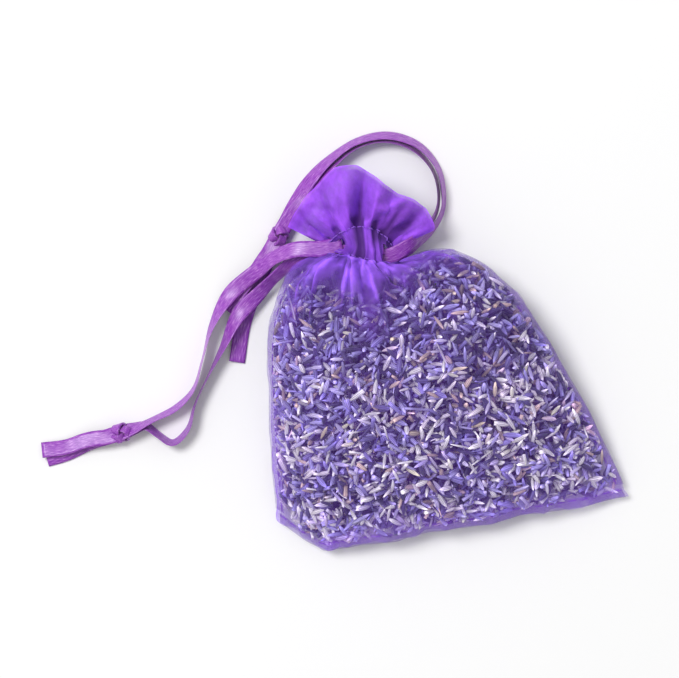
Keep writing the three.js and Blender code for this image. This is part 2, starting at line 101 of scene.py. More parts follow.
camera = bpy.data.cameras.new("camera")
camera.sensor_width = 36.0
camera.lens = camera.sensor_width * (camera_height - view_centre.z) / view_width
camera_object = bpy.data.objects.new("camera", camera)
camera_object.location = (view_centre.x, view_centre.y, camera_height)
camera_object.rotation_euler = (0.0, 0.0, view_turn)
scene.collection.objects.link(camera_object)
scene.camera = camera_object

lamp = bpy.data.lights.new("lamp", "AREA")
lamp.shape = "DISK"
lamp.size = lamp_size
lamp.energy = lamp_watts
lamp_object = bpy.data.objects.new("lamp", lamp)
lamp_object.location = lamp_place
lamp_object.rotation_mode = "QUATERNION"
lamp_object.rotation_quaternion = lamp_place.to_track_quat("Z", "Y")
scene.collection.objects.link(lamp_object)

sky = bpy.data.worlds.new("sky")
scene.world = sky
sky.use_nodes = True
sky.node_tree.nodes["Background"].inputs["Color"].default_value = (1.0, 1.0, 1.0, 1.0)
sky.node_tree.nodes["Background"].inputs["Strength"].default_value = sky_level

table_finish = new_material("white_table")
table_colour = (table_white, table_white, table_white, 1.0)
surface(table_finish, {"Base Color": table_colour, "Roughness": 0.8, "Specular IOR Level": 0.0})
form = bmesh.new()
bmesh.ops.create_grid(form, x_segments=1, y_segments=1, size=table_size / 2)
table_mesh = finished(form, "table")
table_mesh.materials.append(table_finish)
table = bpy.data.objects.new("table", table_mesh)
scene.collection.objects.link(table)

# The pouch's form. Each panel is drawn as a fan of curves, from the bottom seam up into the gathered neck,
# with the lavender swelling it above and the table flattening it below. Millimetres from the middle of the
# bottom seam: u runs from the left side seam at -1 to the right one at 1, v from the bottom to the neck.
tuck = np.array([8.1, 7.7])
straight_seam = 58.8
corner_height = 1.6
seam_lift = 3.0
left_rise = np.array([3.0, 27.3, 7.0])
right_rise = np.array([-9.0, 32.0, 7.0])
left_shoulder = np.array([-16.0, 2.2, 0.0])
right_shoulder = np.array([20.0, 10.4, 0.0])
neck_drop = 15.0
front_crown = 12.0
back_crown = 12.0
full_at = 0.5
fullness = 0.55
neck_place = np.array([-12.8, 53.2, 8.0])
neck_lean = math.radians(25)
neck_a = 5.6
neck_b = 4.2
across_neck = np.array([math.cos(neck_lean), -math.sin(neck_lean), 0.0])
bottom_puckers = ((0.3, 17.0, 1.0), (0.14, 9.1, 2.6), (0.07, 4.3, 0.3))
side_puckers = ((0.25, 19.0, 0.4), (0.12, 8.1, 3.0), (0.06, 4.7, 1.2))
pucker_spread = 0.8
bottom_fade = 12
corner_fade = 8
side_fade = 16
side_end_fade = 0.5
bottom_offset = 4
side_offsets = (7, 5)
half_bottom = 33.5
side_run = 55.0
bag_origin = np.array([tuck[0] / 2 * mm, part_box("front_panel")[0].y, 0.0])


def in_frame(points):
    """Points of the pouch in millimetres, as places in the part's frame in metres."""
    return np.asarray(points, float) * mm + bag_origin


def ease(start, end, value):
    """From 0 at start to 1 at end, with a soft start and a soft end."""
    share = np.clip((value - start) / (end - start), 0, 1)
    return share * share * (3 - 2 * share)


def bottom_edge(u):
    """The bottom seam, with its left corner tucked in."""
    tuck_length = np.hypot(*tuck)
    run = (u + 1) / 2 * (tuck_length + straight_seam)
    tucked = np.minimum(run / tuck_length, 1)
    x = -straight_seam / 2 - tuck[0] * (1 - tucked) + np.maximum(run - tuck_length, 0)
    y = tuck[1] * (1 - tucked)
    z = corner_height + seam_lift * (1 - u * u)
    return np.stack([x, y, z], -1)


def puckers(waves, run):
    """Uneven small waves along a seam."""
    return sum(size * np.sin(2 * np.pi * run / pitch + phase) for size, pitch, phase in waves)


def middle(u, v):
    """The surface midway between the panels."""
    u, v = np.broadcast_arrays(np.asarray(u, float), np.asarray(v, float))
    fan = np.pi / 2 * u
    side = ((u + 1) / 2)[..., None]
    start = bottom_edge(u)
    end = neck_place + across_neck * (neck_a * np.sin(fan))[..., None]
    rise = left_rise * (1 - side) + right_rise * side
    shoulder = np.where(u[..., None] < 0, left_shoulder, right_shoulder) * np.abs(np.sin(fan))[..., None]
    shoulder[..., 1] -= neck_drop * np.cos(fan)
    t = v[..., None]
    low = (1 - t) ** 3 * start + 3 * (1 - t) ** 2 * t * (start + rise)
    high = 3 * (1 - t) * t**2 * (end + shoulder) + t**3 * end
    points = low + high
    at_bottom = np.clip(1 - v, 0, 1) ** bottom_fade * (1 - u**corner_fade)
    at_side = np.abs(u) ** side_fade * np.sin(np.pi * np.clip(v, 0, 1)) ** side_end_fade
    points[..., 2] += puckers(bottom_puckers, half_bottom * u) * at_bottom
    points[..., 2] += puckers(side_puckers, side_run * v + side_offsets[0] * u) * at_side
    points[..., 1] += pucker_spread * puckers(bottom_puckers, half_bottom * u + bottom_offset) * at_bottom
    points[..., 0] += pucker_spread * puckers(side_puckers, side_run * v - side_offsets[1] * u) * at_side
    return points


def swell(u, v, crown):
    """How far a panel stands off the middle surface."""
    across = np.maximum(1 - u * u, 0) ** fullness
    low = 1 - np.clip(v / full_at, 0, 1)
    along = (1 - low * low) ** fullness
    neck = ease(full_at, 1, v)
    return (1 - neck) * crown * across * along + neck * neck_b * np.cos(np.pi / 2 * u)


def front_height(u, v):
    """Height of the front panel."""
    return middle(u, v)[..., 2] + swell(u, v, front_crown)


def back_height(u, v):
    """Height of the back panel, which the table flattens."""
    return np.maximum(middle(u, v)[..., 2] - swell(u, v, back_crown), 0)


# Dried lavender. Loose buds, grey violet, with ribs painted in light and shade and pale tips that are partly
# a painted highlight, poured in until the pouch is firm: they press against the cloth and against each other
# in every direction, with a few bare stalks among them. Painted shade darkens them towards the neck.
heap_from = 0.014
heap_left = 0.84
heap_right = 0.93
heap_turn = (-0.1, 0.7)
heap_inset_low = 1.3
heap_inset_high = 0.8
heap_inset_right = 0.6
heap_clear = 0.2
heap_across = 40
heap_along = 26
bud_count = 13000
bud_length = 2.75
bud_width = 0.8
bud_variation = 0.22
packing_rounds = 30
bud_floor = 0.3
patch_depth = 0.4
# Painted shade: the buds darken round one place below the neck, and more towards the neck, where the gathered
# shoulders shade them.
painted_shade_patch = np.array([-19.0, 35.0, 12.0])
painted_shade_patch_size = 9.0
painted_shade_patch_depth = 0.25
shoulder_shade_from = 12.0
shoulder_shade_to = 44.0
shoulder_painted_shade = 0.36
patch_waves = (((310, 140, 0), 0.4), ((-180, 330, 0), 2.0), ((420, -260, 0), 4.1), ((90, 480, 0), 5.3))
stalk_share = 0.02
stalk_size = (2.1, 0.5)
bud_lie = (1, 1, 0.6)
bead_places = np.array([-0.92, -0.55, 0.0, 0.55, 0.92])
bead_sizes = (0.3, 0.8, 1.0, 0.8, 0.3)
pairs_every = 6
pair_reach = 1.5
push_share = 0.6
mouth_ends = (0.7, 0.95)
base_ends = (0.35, 0.0)
base_taper = 0.25
bud_bend = 0.05
mouth_dent = 0.35
mouth_tip = 0.99
closed_mouth = -0.15
open_mouth = 0.55
closed_percent = 65
tint_range = (0.75, 3.1)
# Painted light and shade of the ribs, from the grooves to the ribs.
rib_count = 9
rib_painted_shading = (0.5, 1.4)


def heap_place(across, along):
    """u and v at a share of the heap's width and length."""
    u = 2 * across - 1
    top = heap_left + (heap_right - heap_left) * ease(*heap_turn, u)
    v = heap_from + (top - heap_from) * along
    half = np.linalg.norm(middle(1, v) - middle(-1, v), axis=-1) / 2
    inset = (heap_inset_low + heap_inset_high * v) * (1 - (1 - heap_inset_right) * ease(0, 1, u))
    return u * (1 - inset / half), v


def add_grid(form, across, along):
    """Adds a grid to a form, and gives its points and their places in it, from 0 to 1 both ways."""
    verts = bmesh.ops.create_grid(form, x_segments=across, y_segments=along, size=0.5, calc_uvs=True)["verts"]
    places = np.array([vert.co for vert in verts]) + 0.5
    return verts, places[:, 0], places[:, 1]


form = bmesh.new()
for height, lift in ((front_height, -heap_clear), (back_height, heap_clear)):
    verts, across, along = add_grid(form, heap_across, heap_along)
    u, v = heap_place(across, along)
    points = middle(u, v)
    points[:, 2] = height(u, v) + lift
    for vert, point in zip(verts, in_frame(points)):
        vert.co = point
bmesh.ops.bridge_loops(form, edges=[edge for edge in form.edges if edge.is_boundary])
bmesh.ops.recalc_face_normals(form, faces=form.faces)
heap_skin = BVHTree.FromBMesh(form)
heap_mesh = finished(form, "heap")


def inside_heap(points, clear):
    """Moves points that come closer to the heap's skin than clear, or lie outside it, back inside."""
    moved = points.copy()
    for k, point in enumerate(points):
        place, normal, _, _ = heap_skin.find_nearest(Vector(point))
        depth = (place - Vector(point)).dot(normal)
        if depth < clear[k]:
            moved[k] += np.array(normal) * (depth - clear[k])
    return moved


def unit(vectors):
    """The vectors, each 1 long."""
    return vectors / np.linalg.norm(vectors, axis=-1)[..., None]


def mesh_points(mesh):
    """The places of the mesh's points."""
    return np.array([vert.co for vert in mesh.vertices])


def pack_buds(random):
    """Middle, direction, length and width of each bud, pushed apart until they lie side by side."""
    corners = mesh_points(heap_mesh)
    low, high = corners.min(axis=0), corners.max(axis=0)
    middles = []
    while len(middles) < bud_count:
        point = random.uniform(low, high)
        place, normal, _, _ = heap_skin.find_nearest(Vector(point))
        if (place - Vector(point)).dot(normal) > bud_width * mm / 2:
            middles.append(point)
    middles = np.array(middles)
    directions = unit(random.normal(size=(bud_count, 3)) * bud_lie)
    sizes = 1 + bud_variation * random.normal(size=(bud_count, 2)).clip(-2, 2)
    sizes[random.random(bud_count) < stalk_share] *= stalk_size
    lengths = bud_length * mm * sizes[:, 0]
    widths = bud_width * mm * sizes[:, 1]
    radii = (widths[:, None] / 2 * bead_sizes).ravel()
    owner = np.repeat(np.arange(bud_count), len(bead_places))
    for round_number in range(packing_rounds):
        arms = directions[:, None, :] * (bead_places[None, :, None] * lengths[:, None, None] / 2)
        centres = (middles[:, None, :] + arms).reshape(-1, 3)
        if round_number % pairs_every == 0:
            tree = KDTree(len(centres))
            for k, centre in enumerate(centres):
                tree.insert(centre, k)
            tree.balance()
            reach = pair_reach * bud_width * mm
            pairs = [(k, n[1]) for k, c in enumerate(centres) for n in tree.find_range(c, reach) if n[1] > k]
            first, second = np.array(pairs).T
            other = owner[first] != owner[second]
            first, second = first[other], second[other]
        gap = centres[first] - centres[second]
        distance = np.maximum(np.linalg.norm(gap, axis=1), 1e-9)
        overlap = np.maximum(radii[first] + radii[second] - distance, 0)
        push = gap / distance[:, None] * (overlap / 2 * push_share)[:, None]
        moves = np.zeros_like(centres)
        np.add.at(moves, first, push)
        np.add.at(moves, second, -push)
        wanted = inside_heap(centres + moves, radii)
        moves = (wanted - centres).reshape(bud_count, len(bead_places), 3)
        middles = middles + moves.mean(axis=1)
        turn = np.cross(arms, moves).sum(axis=1) / (arms**2).sum(axis=(1, 2))[:, None]
        directions = unit(directions + np.cross(turn, directions))
    upright = np.abs(directions[:, 2])
    half_heights = upright * lengths / 2 + np.sqrt(1 - upright**2) * widths / 2
    middles[:, 2] = np.maximum(middles[:, 2], half_heights + bud_floor * mm)
    return middles, directions, lengths, widths


def bud_mesh(name, mouth):
    """One bud along Z, 1 long and 1 wide, with a mouth that is pointed when closed and flared when open."""
    form = bmesh.new()
    form.loops.layers.uv.new("bud")
    bmesh.ops.create_uvsphere(form, u_segments=6, v_segments=5, radius=0.5, calc_uvs=True)
    for vert in form.verts:
        share = vert.co.z + 0.5
        girth = 1 + mouth * ease(*mouth_ends, share) - base_taper * ease(*base_ends, share)
        vert.co.x = vert.co.x * girth + bud_bend * math.sin(math.pi * share)
        vert.co.y *= girth
        if share > mouth_tip:
            vert.co.z -= mouth_dent * mouth
    return finished(form, name)


random = np.random.default_rng(11)
middles, directions, lengths, widths = pack_buds(random)
closed_bud = bud_mesh("closed_bud", closed_mouth)
open_bud = bud_mesh("open_bud", open_mouth)
kinds = random.integers(0, 100, bud_count)
spins = random.uniform(0, 2 * math.pi, bud_count)
# Shares and colours of the buds. The near-black and the near-white ones are partly painted shade between the
# buds and painted glints on them.
bud_tints = (
    (0.29, (0.42, 0.39, 0.82)),
    (0.15, (0.22, 0.19, 0.50)),
    (0.19, (0.04, 0.035, 0.10)),
    (0.20, (0.58, 0.54, 0.98)),
    (0.06, (0.95, 0.92, 1.00)),
    (0.05, (0.42, 0.32, 0.28)),
    (0.03, (0.75, 0.64, 0.46)),
    (0.03, (0.75, 0.54, 0.66)),
)
bud_shares = [share for share, _ in bud_tints]
bud_colours = np.array([tint for _, tint in bud_tints])
chosen = random.choice(len(bud_colours), bud_count, p=bud_shares)
# Random patches of tone, times the painted shade round one place and towards the neck.
tone_and_painted_shade = sum(np.sin(middles @ wave + phase) for wave, phase in patch_waves) / len(patch_waves)
from_painted_shade = np.linalg.norm(middles - in_frame(painted_shade_patch), axis=1) / (painted_shade_patch_size * mm)
tone_and_painted_shade = (1 + patch_depth * tone_and_painted_shade) * (1 - painted_shade_patch_depth * np.exp(-(from_painted_shade**2)))
up_pouch = (middles - in_frame(np.zeros(3)))[:, 1] / mm
tone_and_painted_shade *= 1 - shoulder_painted_shade * ease(shoulder_shade_from, shoulder_shade_to, up_pouch)
tints = bud_colours[chosen] * random.uniform(*tint_range, (bud_count, 1)) * tone_and_painted_shade[:, None]
tints = np.clip(np.hstack([tints, np.ones((bud_count, 1))]), 0, 1)


def add_node(material, kind, values, **settings):
    """A new node in a material, with its settings, and with values or other nodes' outputs at its inputs."""
    node = material.node_tree.nodes.new("ShaderNode" + kind)
    for key, value in settings.items():
        setattr(node, key, value)
    fill_inputs(material, node, values)
    return node


def maths(material, operation, first, second=0.0):
    """A sum, a product or the like of two values."""
    return add_node(material, "Math", {0: first, 1: second}, operation=operation).outputs["Value"]


def ramp(material, value, low, high, to_low, to_high, smooth=False):
    """The value, carried from the range between low and high over to another one."""
    ends = {"From Min": low, "From Max": high, "To Min": to_low, "To Max": to_high, "Value": value}
    steps = "SMOOTHSTEP" if smooth else "LINEAR"
    return add_node(material, "MapRange", ends, interpolation_type=steps).outputs["Result"]


def tones(material, value, *stops):
    """A colour for the value, between colours at given places from 0 to 1."""
    node = add_node(material, "ValToRGB", {"Fac": value})
    elements = node.color_ramp.elements
    elements[0].position = stops[0][0]
    elements[1].position = stops[-1][0]
    for place, _ in stops[1:-1]:
        elements.new(place)
    for element, (_, colour) in zip(elements, stops):
        element.color = (*colour, 1.0)
    return node.outputs["Color"]


def shaded(material, colour, light):
    """The colour times the light."""
    values = {"Vector": colour, "Scale": light}
    return add_node(material, "VectorMath", values, operation="SCALE").outputs["Vector"]


bud_finish = new_material("dried_lavender")
bud_uv = add_node(bud_finish, "UVMap", {}, uv_map="bud").outputs["UV"]
on_bud = add_node(bud_finish, "SeparateXYZ", {"Vector": bud_uv}).outputs
# Ribs painted in light and shade round each bud, paler on the ribs and darker in the grooves; the bud's mesh
# has no ribs.
painted_ribs = maths(bud_finish, "SINE", maths(bud_finish, "MULTIPLY", on_bud["X"], rib_count * 2 * math.pi))
# Darker towards the stalk and paler towards the tip, where the paleness is partly the bud's own colour and
# partly a painted highlight brighter than white.
bud_tone_and_tip_highlight = ((0.0, (0.6, 0.56, 0.55)), (0.6, (0.95, 0.9, 1.0)), (0.92, (2.2, 2.05, 2.2)))
tips_and_highlight = tones(bud_finish, on_bud["Y"], *bud_tone_and_tip_highlight)
tint = add_node(bud_finish, "Attribute", {}, attribute_name="tint").outputs["Color"]
tipped = add_node(
    bud_finish, "Mix", {"Factor": 1.0, "A": tint, "B": tips_and_highlight}, data_type="RGBA", blend_type="MULTIPLY"
)
ribbed = shaded(bud_finish, tipped.outputs["Result"], ramp(bud_finish, painted_ribs, -1.0, 1.0, *rib_painted_shading))
surface(bud_finish, {"Base Color": ribbed, "Roughness": 0.5, "Sheen Weight": 0.25, "Sheen Roughness": 0.5})


def piece(name, mesh, finish, body, slot, *nodes_replaced, feed=None):
    """An object of the sachet that stands for CAD nodes and hides them. Without feed it rides on the body;
    with feed it rides on no body, and its place is baked into its mesh."""
    mesh.materials.clear()
    mesh.materials.append(finish)
    made = bpy.data.objects.new(name, mesh)
    scene.collection.objects.link(made)
    if feed is None:
        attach(made, body)
    else:
        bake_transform(made)
    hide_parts(*nodes_replaced)
    return made


def add_copy(form, mesh, place, direction, spin, size):
    """Adds a copy of the mesh to a form, at a place and with its Z along a direction."""
    lean = Vector(direction).to_track_quat("Z", "Y").to_matrix().to_4x4()
    spun = Matrix.Rotation(spin, 4, "Z")
    where = Matrix.Translation(place) @ lean @ spun @ Matrix.Diagonal((*size, 1.0))
    mesh.transform(where)
    form.from_mesh(mesh)
    mesh.transform(where.inverted())


def bud_heap(name, chosen):
    """The chosen buds as one piece."""
    form = bmesh.new()
    counts = []
    for k in chosen:
        bud = closed_bud if kinds[k] < closed_percent else open_bud
        add_copy(form, bud, middles[k], directions[k], spins[k], (widths[k], widths[k], lengths[k]))
        counts.append(len(bud.vertices))
    mesh = finished(form, name)
    mesh.shade_smooth()
    tint = mesh.attributes.new("tint", "FLOAT_COLOR", "POINT")
    tint.data.foreach_set("color", np.repeat(tints[chosen], counts, axis=0).astype(np.float32).ravel())
    return piece(name, mesh, bud_finish, "pouch", "lavender", "lavender_fill")


bud_names = ("bottom_lavender_buds", "lower_lavender_buds", "upper_lavender_buds", "lavender_buds")
bud_layers = np.array_split(np.argsort(middles[:, 2]), len(bud_names))
bud_pieces = [bud_heap(name, layer) for name, layer in zip(bud_names, bud_layers)]

# Casing. The tunnel that the ribbons run in, between two rows of stitches, in the same sheer violet organza
# as the panels. The ribbons draw it into tight upright pleats and come out of slots in the side seams.
panel_across = 72
cut_width = 70.0
threads_per_mm = 3.2
yarn_bands = 0.314
pleats_across = 50.0
pleat_pitch = 37.5
pleat_range = (0.3, 0.66)
pleat_cover = (0.2, 1.0)
slub_scale = 0.4
slub_range = (0.3, 0.7)
slub_light = (0.85, 1.15)
slub_cover = (-0.06, 0.02)
# Painted shade in the hollows of the folds and painted highlight on their crests.
painted_fold_shade = (1.5, 0.3)
edge_from = 0.95
weave_cover = 0.08
hollow_cover = 0.4
layer_cover = 0.5
along_neck = np.array([math.sin(neck_lean), math.cos(neck_lean)])
gather_depth = 1.1
gather_waves = ((9, 0.4, 0.7), (13, 2.1, 0.9), (17, 4.4, 0.8), (22, 1.2, 0.6))
casing_length = 8.6
casing_rows = 10
waist_at = 0.4
waist_a = 4.7
waist_b = 3.2
waist_rise = 1.6
casing_pleat = 0.5
fan_centre = np.array([-13.2, 52.4])
fan_ends = (14.0, 143.0)
casing_reach = 6.8
casing_thick = 3.4
fold_size = 0.5
fold_rounds = 6
crease_steps = 40
crease_fade = 0.7
slot_from = 0.62
slot_ends = (0.2, 0.8)
casing_crease_depth = 0.5
# Strength, width and route of each crease: pressed in and painted darker where the strength is positive,
# raised and painted paler where it is negative.
neck_creases = (
    (1.0, 1.0, ((-12.6, 60.0), (-12.8, 56.6), (-13.2, 53.6), (-13.3, 51.0))),
    (-0.8, 0.7, ((-10.8, 59.6), (-11.4, 56.2), (-11.8, 52.6))),
    (0.9, 0.6, ((-8.6, 59.0), (-9.8, 56.4), (-11.0, 53.4))),
    (0.7, 0.6, ((-16.6, 59.4), (-15.4, 56.8), (-14.4, 53.6))),
    (-0.7, 0.8, ((-14.8, 60.0), (-14.3, 56.8), (-13.9, 53.6))),
    (0.8, 0.6, ((-18.6, 57.6), (-17.0, 55.9), (-15.4, 53.6))),
    (1.0, 1.3, ((-12.9, 54.0), (-12.8, 56.4), (-12.7, 58.6), (-12.4, 62.4), (-11.4, 66.0))),
    (1.0, 0.8, ((-6.4, 54.4), (-7.7, 55.8), (-9.2, 58.0), (-11.0, 60.4))),
    (1.0, 0.7, ((-7.5, 56.7), (-6.4, 58.3), (-5.1, 59.5), (-3.4, 61.1), (-1.6, 63.6))),
    (0.9, 0.7, ((-6.3, 56.7), (-4.7, 57.2), (-3.0, 58.0), (-1.0, 60.4))),
    (0.8, 0.8, ((-5.7, 53.9), (-2.1, 54.8), (2.0, 54.8))),
    (-0.8, 0.6, ((-10.6, 54.4), (-10.6, 56.7), (-10.9, 60.4))),
    (-0.8, 0.7, ((-7.4, 61.5), (-4.2, 62.4), (0.0, 62.8))),
    (-0.8, 0.8, ((-3.9, 55.5), (-0.7, 56.4), (1.8, 57.4))),
    (-0.6, 0.6, ((-8.6, 58.2), (-7.0, 60.2), (-5.6, 63.0))),
    # A broad shallow hollow over the right lobe, mostly painted shade.
    (0.5, 3.0, ((-7.6, 57.6), (-4.0, 59.0), (-0.5, 60.0))),
    (0.5, 0.6, ((-19.8, 64.5), (-17.7, 63.7), (-15.4, 61.4))),
    (-0.4, 1.2, ((-19.0, 63.0), (-16.3, 61.6), (-14.2, 59.9))),
    (0.5, 0.7, ((-16.4, 57.0), (-19.0, 59.4), (-22.4, 61.4))),
)


def panel_side(around):
    """u of a place round the tube, where the front is the first half and the back the second."""
    return np.where(around < 0.5, 4 * around - 1, 3 - 4 * around)


def gathers(around):
    """Uneven small pleats round the neck, from -1 to 1."""
    return sum(size * np.cos(2 * np.pi * count * around + phase) for count, phase, size in gather_waves) / 2


def neck_angle(around):
    """Angle round the neck, from its right end over the front to its left end and back underneath."""
    return np.pi / 2 * (1 - panel_side(around)) * np.where(around < 0.5, 1, -1)


def neck_ring(around, a, b, size):
    """A ring across the neck, a wide and b thick to each side, with pleats of a size."""
    angle = neck_angle(around)
    wide = ((a + size) * np.cos(angle))[..., None] * across_neck
    thick = ((b + size) * np.sin(angle))[..., None] * np.array([0.0, 0.0, 1.0])
    return neck_place + wide + thick


def fan_turn(around):
    """Direction in which the cloth fans out above the neck, in degrees."""
    return fan_ends[0] + (fan_ends[1] - fan_ends[0]) * (1 - panel_side(around)) / 2


def casing_form(around, up):
    """The casing, from the neck through its narrow waist to the start of the fan."""
    pleats = gathers(around)
    low = neck_ring(around, neck_a, neck_b, gather_depth * pleats)
    waist = neck_ring(around, waist_a, waist_b, casing_pleat * pleats)
    waist[..., :2] += waist_rise * along_neck
    turn = np.radians(fan_turn(around))
    height = neck_place[2] + (casing_thick + casing_pleat * pleats) * np.sin(neck_angle(around))
    fanned = fan_centre[:, None] + casing_reach * np.stack([np.cos(turn), np.sin(turn)])
    top = np.stack([*fanned, height], -1)
    bend = (waist - (1 - waist_at) ** 2 * low - waist_at**2 * top) / (2 * waist_at * (1 - waist_at))
    t = up[..., None]
    return (1 - t) ** 2 * low + 2 * t * (1 - t) * bend + t**2 * top


def cloth_tube(name, rows, shape):
    """A tube of cloth, two panels round. Its attributes around and up keep each point's place in it."""
    form = bmesh.new()
    uv = form.loops.layers.uv.new("cut")
    around_layer = form.verts.layers.float.new("around")
    up_layer = form.verts.layers.float.new("up")
    verts, around, up = add_grid(form, 2 * panel_across, rows)
    around = np.round(around * 2 * panel_across) / (2 * panel_across)
    up = np.round(up * rows) / rows
    points = in_frame(shape(around % 1, up))
    for vert, turn, height, point in zip(verts, around, up, points):
        vert[around_layer] = turn
        vert[up_layer] = height
        vert.co = point
    for face in form.faces:
        for loop in face.loops:
            loop[uv].uv = (loop.vert[around_layer], loop.vert[up_layer])
    bmesh.ops.remove_doubles(form, verts=form.verts, dist=1e-7)
    bmesh.ops.recalc_face_normals(form, faces=form.faces)
    return finished(form, name)


def mark_folds(mesh):
    """Keeps how far each point lies in a fold of the cloth, from -1 on a crest to 1 in a hollow."""
    points = mesh_points(mesh)
    normals = np.array([vert.normal for vert in mesh.vertices])
    ends = np.array([edge.vertices[:] for edge in mesh.edges])
    number = np.bincount(ends.ravel(), minlength=len(points))[:, None]
    even = points
    for _ in range(fold_rounds):
        total = np.zeros_like(even)
        np.add.at(total, ends[:, 0], even[ends[:, 1]])
        np.add.at(total, ends[:, 1], even[ends[:, 0]])
        even = (even + total / number) / 2
    fold = ((even - points) * normals).sum(axis=1) / (fold_size * mm)
    hollow = mesh.attributes.new("hollow", "FLOAT", "POINT")
    hollow.data.foreach_set("value", np.clip(fold, -1, 1).astype(np.float32))


def read_attribute(mesh, name):
    """One number for each point of the mesh."""
    values = np.empty(len(mesh.vertices), np.float32)
    mesh.attributes[name].data.foreach_get("value", values)
    return values


def along_routes(mesh, routes):
    """How strongly each point on the front lies on the routes, which fade out from their start."""
    points = mesh_points(mesh)
    front = read_attribute(mesh, "around") % 1 < 0.5
    share = np.linspace(0, 1, crease_steps)
    total = np.zeros(len(points))
    for strength, width, route in routes:
        marks = np.linspace(0, 1, len(route))
        line = [np.interp(share, marks, [place[axis] for place in route]) for axis in (0, 1)]
        away = np.linalg.norm(points[:, None, :2] - bag_origin[:2] - np.stack(line, -1) * mm, axis=2)
        fade = (1 - share[away.argmin(axis=1)]) ** crease_fade
        total += strength * fade * np.exp(-((away.min(axis=1) / (width * mm)) ** 2)) * front
    return total.clip(-1, 1)


def crease_cloth(mesh, creases, layers, depth):
    """Presses creases into the front of the cloth, raised where their strength is negative, and doubles it
    along the layers. The creases also go into the hollow attribute, which the organza paints as shade where
    they are pressed in and as a highlight where they are raised."""
    mark_folds(mesh)
    pressed = along_routes(mesh, creases)
    normals = np.array([vert.normal for vert in mesh.vertices])
    points = mesh_points(mesh) - normals * (depth * mm * pressed)[:, None]
    mesh.vertices.foreach_set("co", points.astype(np.float32).ravel())
    folds = np.clip(read_attribute(mesh, "hollow") + pressed, -1, 1)
    mesh.attributes["hollow"].data.foreach_set("value", folds.astype(np.float32))
    doubled = mesh.attributes.new("layers", "FLOAT", "POINT")
    doubled.data.foreach_set("value", along_routes(mesh, layers).astype(np.float32))


def one_side(mesh, name, front):
    """The front or the back half of a tube of cloth."""
    form = bmesh.new()
    form.from_mesh(mesh)
    uv = form.loops.layers.uv["cut"]
    other = [face for face in form.faces if (face.loops[0][uv].uv.x + face.loops[2][uv].uv.x < 1.0) != front]
    bmesh.ops.delete(form, geom=other, context="FACES")
    half = finished(form, name)
    half.shade_smooth()
    return half


def stretched(material, vector, x, y):
    """Places for a texture, stretched along X and Y."""
    return add_node(material, "Mapping", {"Scale": (x, y, 1.0), "Vector": vector}).outputs["Vector"]


def noise(material, vector, detail, scale=1.0):
    """Soft uneven patches, from 0 to 1."""
    values = {"Scale": scale, "Detail": detail, "Vector": vector}
    return add_node(material, "TexNoise", values).outputs["Fac"]


def bumped(material, height, strength, depth):
    """Lets the height stand out in light and shade."""
    values = {"Strength": strength, "Distance": depth * mm, "Height": height}
    surface(material, {"Normal": add_node(material, "Bump", values).outputs["Normal"]})


def organza(name, colour, cover, gathered, length, neck, edge_light=0.0, layer_light=0.0):
    """Sheer plain weave in a violet yarn. cover is how much of the light one layer stops where it is smooth,
    gathered how much more it stops at the neck, neck the shares of its length where the gathers start and
    end, edge_light how much paler its upper edge is, layer_light how much paler it is in several layers.
    Painted shade darkens the hollows of its folds and a painted highlight lightens their crests."""
    cloth = new_material(name)
    uv = add_node(cloth, "UVMap", {}, uv_map="cut").outputs["UV"]
    flat = stretched(cloth, uv, 2 * cut_width, length)
    yarn = {"Scale": threads_per_mm * yarn_bands, "Distortion": 0.6, "Detail Scale": 0.4, "Vector": flat}
    yarns = [add_node(cloth, "TexWave", yarn, bands_direction=way).outputs["Fac"] for way in ("X", "Y")]
    weave = maths(cloth, "MAXIMUM", *yarns)
    up = add_node(cloth, "SeparateXYZ", {"Vector": uv}).outputs["Y"]
    near_neck = ramp(cloth, up, *neck, 0.0, 1.0, True)
    pleats = noise(cloth, stretched(cloth, uv, pleats_across, length / pleat_pitch), 2.0)
    drawn = maths(cloth, "MULTIPLY", near_neck, ramp(cloth, pleats, *pleat_range, *pleat_cover))
    slub = noise(cloth, flat, 4.0, slub_scale)
    fold = add_node(cloth, "Attribute", {}, attribute_name="hollow").outputs["Fac"]
    layers = add_node(cloth, "Attribute", {}, attribute_name="layers").outputs["Fac"]
    uneven = ramp(cloth, slub, *slub_range, *slub_light)
    # Random slubs, times painted shade in the hollows of the folds and painted highlight on their crests.
    light = maths(cloth, "MULTIPLY", uneven, ramp(cloth, fold, -1.0, 1.0, *painted_fold_shade))
    light = maths(cloth, "MULTIPLY", light, ramp(cloth, up, edge_from, 1.0, 1.0, 1.0 + edge_light))
    several = maths(cloth, "ADD", drawn, layers)
    light = maths(cloth, "MULTIPLY", light, ramp(cloth, several, 0.0, 1.0, 1.0, 1.0 + layer_light))
    one_layer = ramp(cloth, slub, *slub_range, cover + slub_cover[0], cover + slub_cover[1])
    smooth = maths(cloth, "ADD", one_layer, maths(cloth, "MULTIPLY", weave, weave_cover))
    hollows = maths(cloth, "MULTIPLY", maths(cloth, "MAXIMUM", fold, 0.0), hollow_cover)
    creased = maths(cloth, "ADD", hollows, maths(cloth, "MULTIPLY", layers, layer_cover))
    folded = maths(cloth, "ADD", maths(cloth, "MULTIPLY", drawn, gathered), creased)
    surface(cloth, {
        "Base Color": shaded(cloth, colour, light),
        "Alpha": maths(cloth, "MINIMUM", maths(cloth, "ADD", smooth, folded), 1.0),
        "Roughness": 0.6,
        "Specular IOR Level": 0.2,
        "Sheen Weight": 0.4,
        "Sheen Roughness": 0.4,
        "Sheen Tint": (0.6, 0.4, 1.0, 1.0),
    })
    bumped(cloth, weave, 0.25, 0.1)
    return cloth


